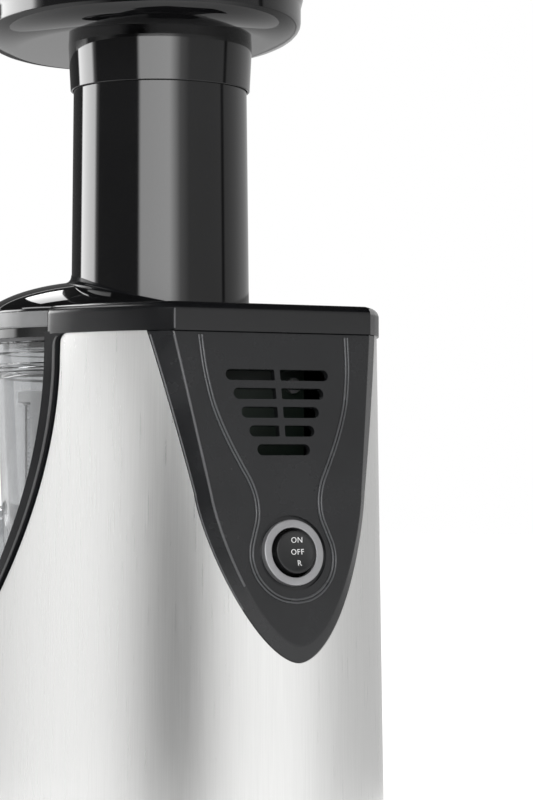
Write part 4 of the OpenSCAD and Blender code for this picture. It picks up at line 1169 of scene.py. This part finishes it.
def trayPlaces(inset, z, rise, swing, count):
    v, out = traySet, []
    for i in range(count):
        turn = 2 * math.pi * i / count
        grow = -inset - swing * v["swing"] * math.sin(turn)
        x, y = (v["halfWidth"] + grow) * math.cos(turn), (v["halfLength"] + grow) * math.sin(turn)
        out.append((x, tubeY - v["forward"] + y, z + rise * v["creaseRise"] * math.sin(turn)))
    return out


def makeTray():
    v = traySet
    low, count = v["low"], v["count"]
    deselect()
    bpy.ops.mesh.primitive_circle_add(vertices=count, radius=1 * mm, fill_type="NGON", location=(0, 0, 0))
    obj = bpy.context.object
    obj.name = "feedTray"
    mesh = bmesh.new()
    mesh.from_mesh(obj.data)
    mesh.verts.ensure_lookup_table()
    ring = sortedRing(mesh)
    first, *others = trayRings()
    for vert, spot in zip(ring, trayPlaces(*first, count)):
        vert.co = Vector(spot) * mm
    for level in others:
        ring = addRing(mesh, ring, trayPlaces(*level, count))
    mesh.faces.new(ring)
    closeMesh(mesh, obj)
    hole, high = lidSet["tubeTop"] - lidSet["tubeWall"], lidSet["tubeHigh"]
    cut(obj, rod("trayTool", hole, low - 6, low + 8, tubeX, tubeY, 160))
    roundEdges(obj, 0.35, 2, 50)
    finishPiece(obj, "tray", "gloss_black", ["tray"], 30)
    foot, bore = v["collarLow"], lidSet["tubeTop"] + v["gap"]
    collar = lathe("trayCollar", [(bore, foot), (v["collarFoot"] - 0.2, foot), (v["collarFoot"], foot + 0.25),
                                  (v["collar"], low + 0.5), (hole, low + 0.5), (hole, high), (bore, high)],
                   tubeX, tubeY, 160)
    finishPiece(collar, "tray", "gloss_black", [], 40)
makeTray()
print("tray is made")


# clear bowl

bowlSet = {
    "low": 162.3, "foot": 45.6, "top": 50, "wall": 2.5, "flangeLow": 262.5, "flangeHigh": 275, "flange": 53,
    "spoutZ": 199, "spoutRadius": 12.5, "spoutWall": 1.8, "reach": 80, "angle": 35,
    "sleeveIn": 7.6, "sleeveOut": 9.3, "sleeveHigh": 178,
    # the flange's ridges and grooves, as (in from the flange, up from its foot)
    "rim": [(1.6, 0), (1.2, 1.2), (2.2, 1.6), (2.2, 2.4), (0.4, 2.9), (0.2, 4), (1.8, 4.5), (1.8, 8),
            (0, 8.6)],
}


def makeBowl():
    v = bowlSet
    low, foot, top, wall, flange = [v[k] for k in ("low", "foot", "top", "wall", "flange")]
    fl, fh = v["flangeLow"], v["flangeHigh"]
    slope = (top - foot) / (fl - low)
    outer = [(v["sleeveIn"], low), (foot - 3, low), (foot - 1.3, low + 0.6), (foot - 0.3, low + 2.2),
             (foot + slope * 5, low + 5), (top, fl - 1)]
    outer += [(flange - inset, fl + up) for inset, up in v["rim"]] + [(flange, fh - 0.4), (flange - 0.4, fh)]
    inner = [(top - wall + 0.4, fh), (top - wall, fh - 0.4), (top - wall, fl),
             (foot - wall + slope * 5, low + 6), (foot - wall - 2, low + 3), (v["sleeveOut"], low + 3),
             (v["sleeveOut"], v["sleeveHigh"]), (v["sleeveIn"], v["sleeveHigh"])]
    obj = lathe("clearBowl", outer + inner, steps=160)
    wide, reach = v["spoutRadius"], v["reach"]
    hole = wide - v["spoutWall"]
    for side, tag in ((1, "Right"), (-1, "Left")):
        spout = lathe("spout" + tag, [(hole, 40), (wide, 40), (wide, reach - 3), (wide + 0.5, reach - 2),
                                      (wide + 0.5, reach - 0.4), (wide, reach), (hole + 0.4, reach)],
                      0, 0, 96)
        plug = rod("spoutPlug", hole + 0.1, 30, 60, 0, 0, 96)
        spin = Matrix.Rotation(math.radians(side * v["angle"]), 4, "Z") @ Matrix.Rotation(math.pi / 2, 4, "X")
        for tool in (spout, plug):
            place(tool, Matrix.Translation((0, axisY * mm, v["spoutZ"] * mm)) @ spin)
        cut(spout, rod("bowlInside", 45.2, 180, 220, verts=160))
        cut(obj, plug)
        cut(obj, spout, operation="UNION")
    roundEdges(obj, 0.25, 2, 60)
    finishPiece(obj, "bowl", "clear_plastic", ["juice_bowl"], 35)
makeBowl()
print("bowl is made")
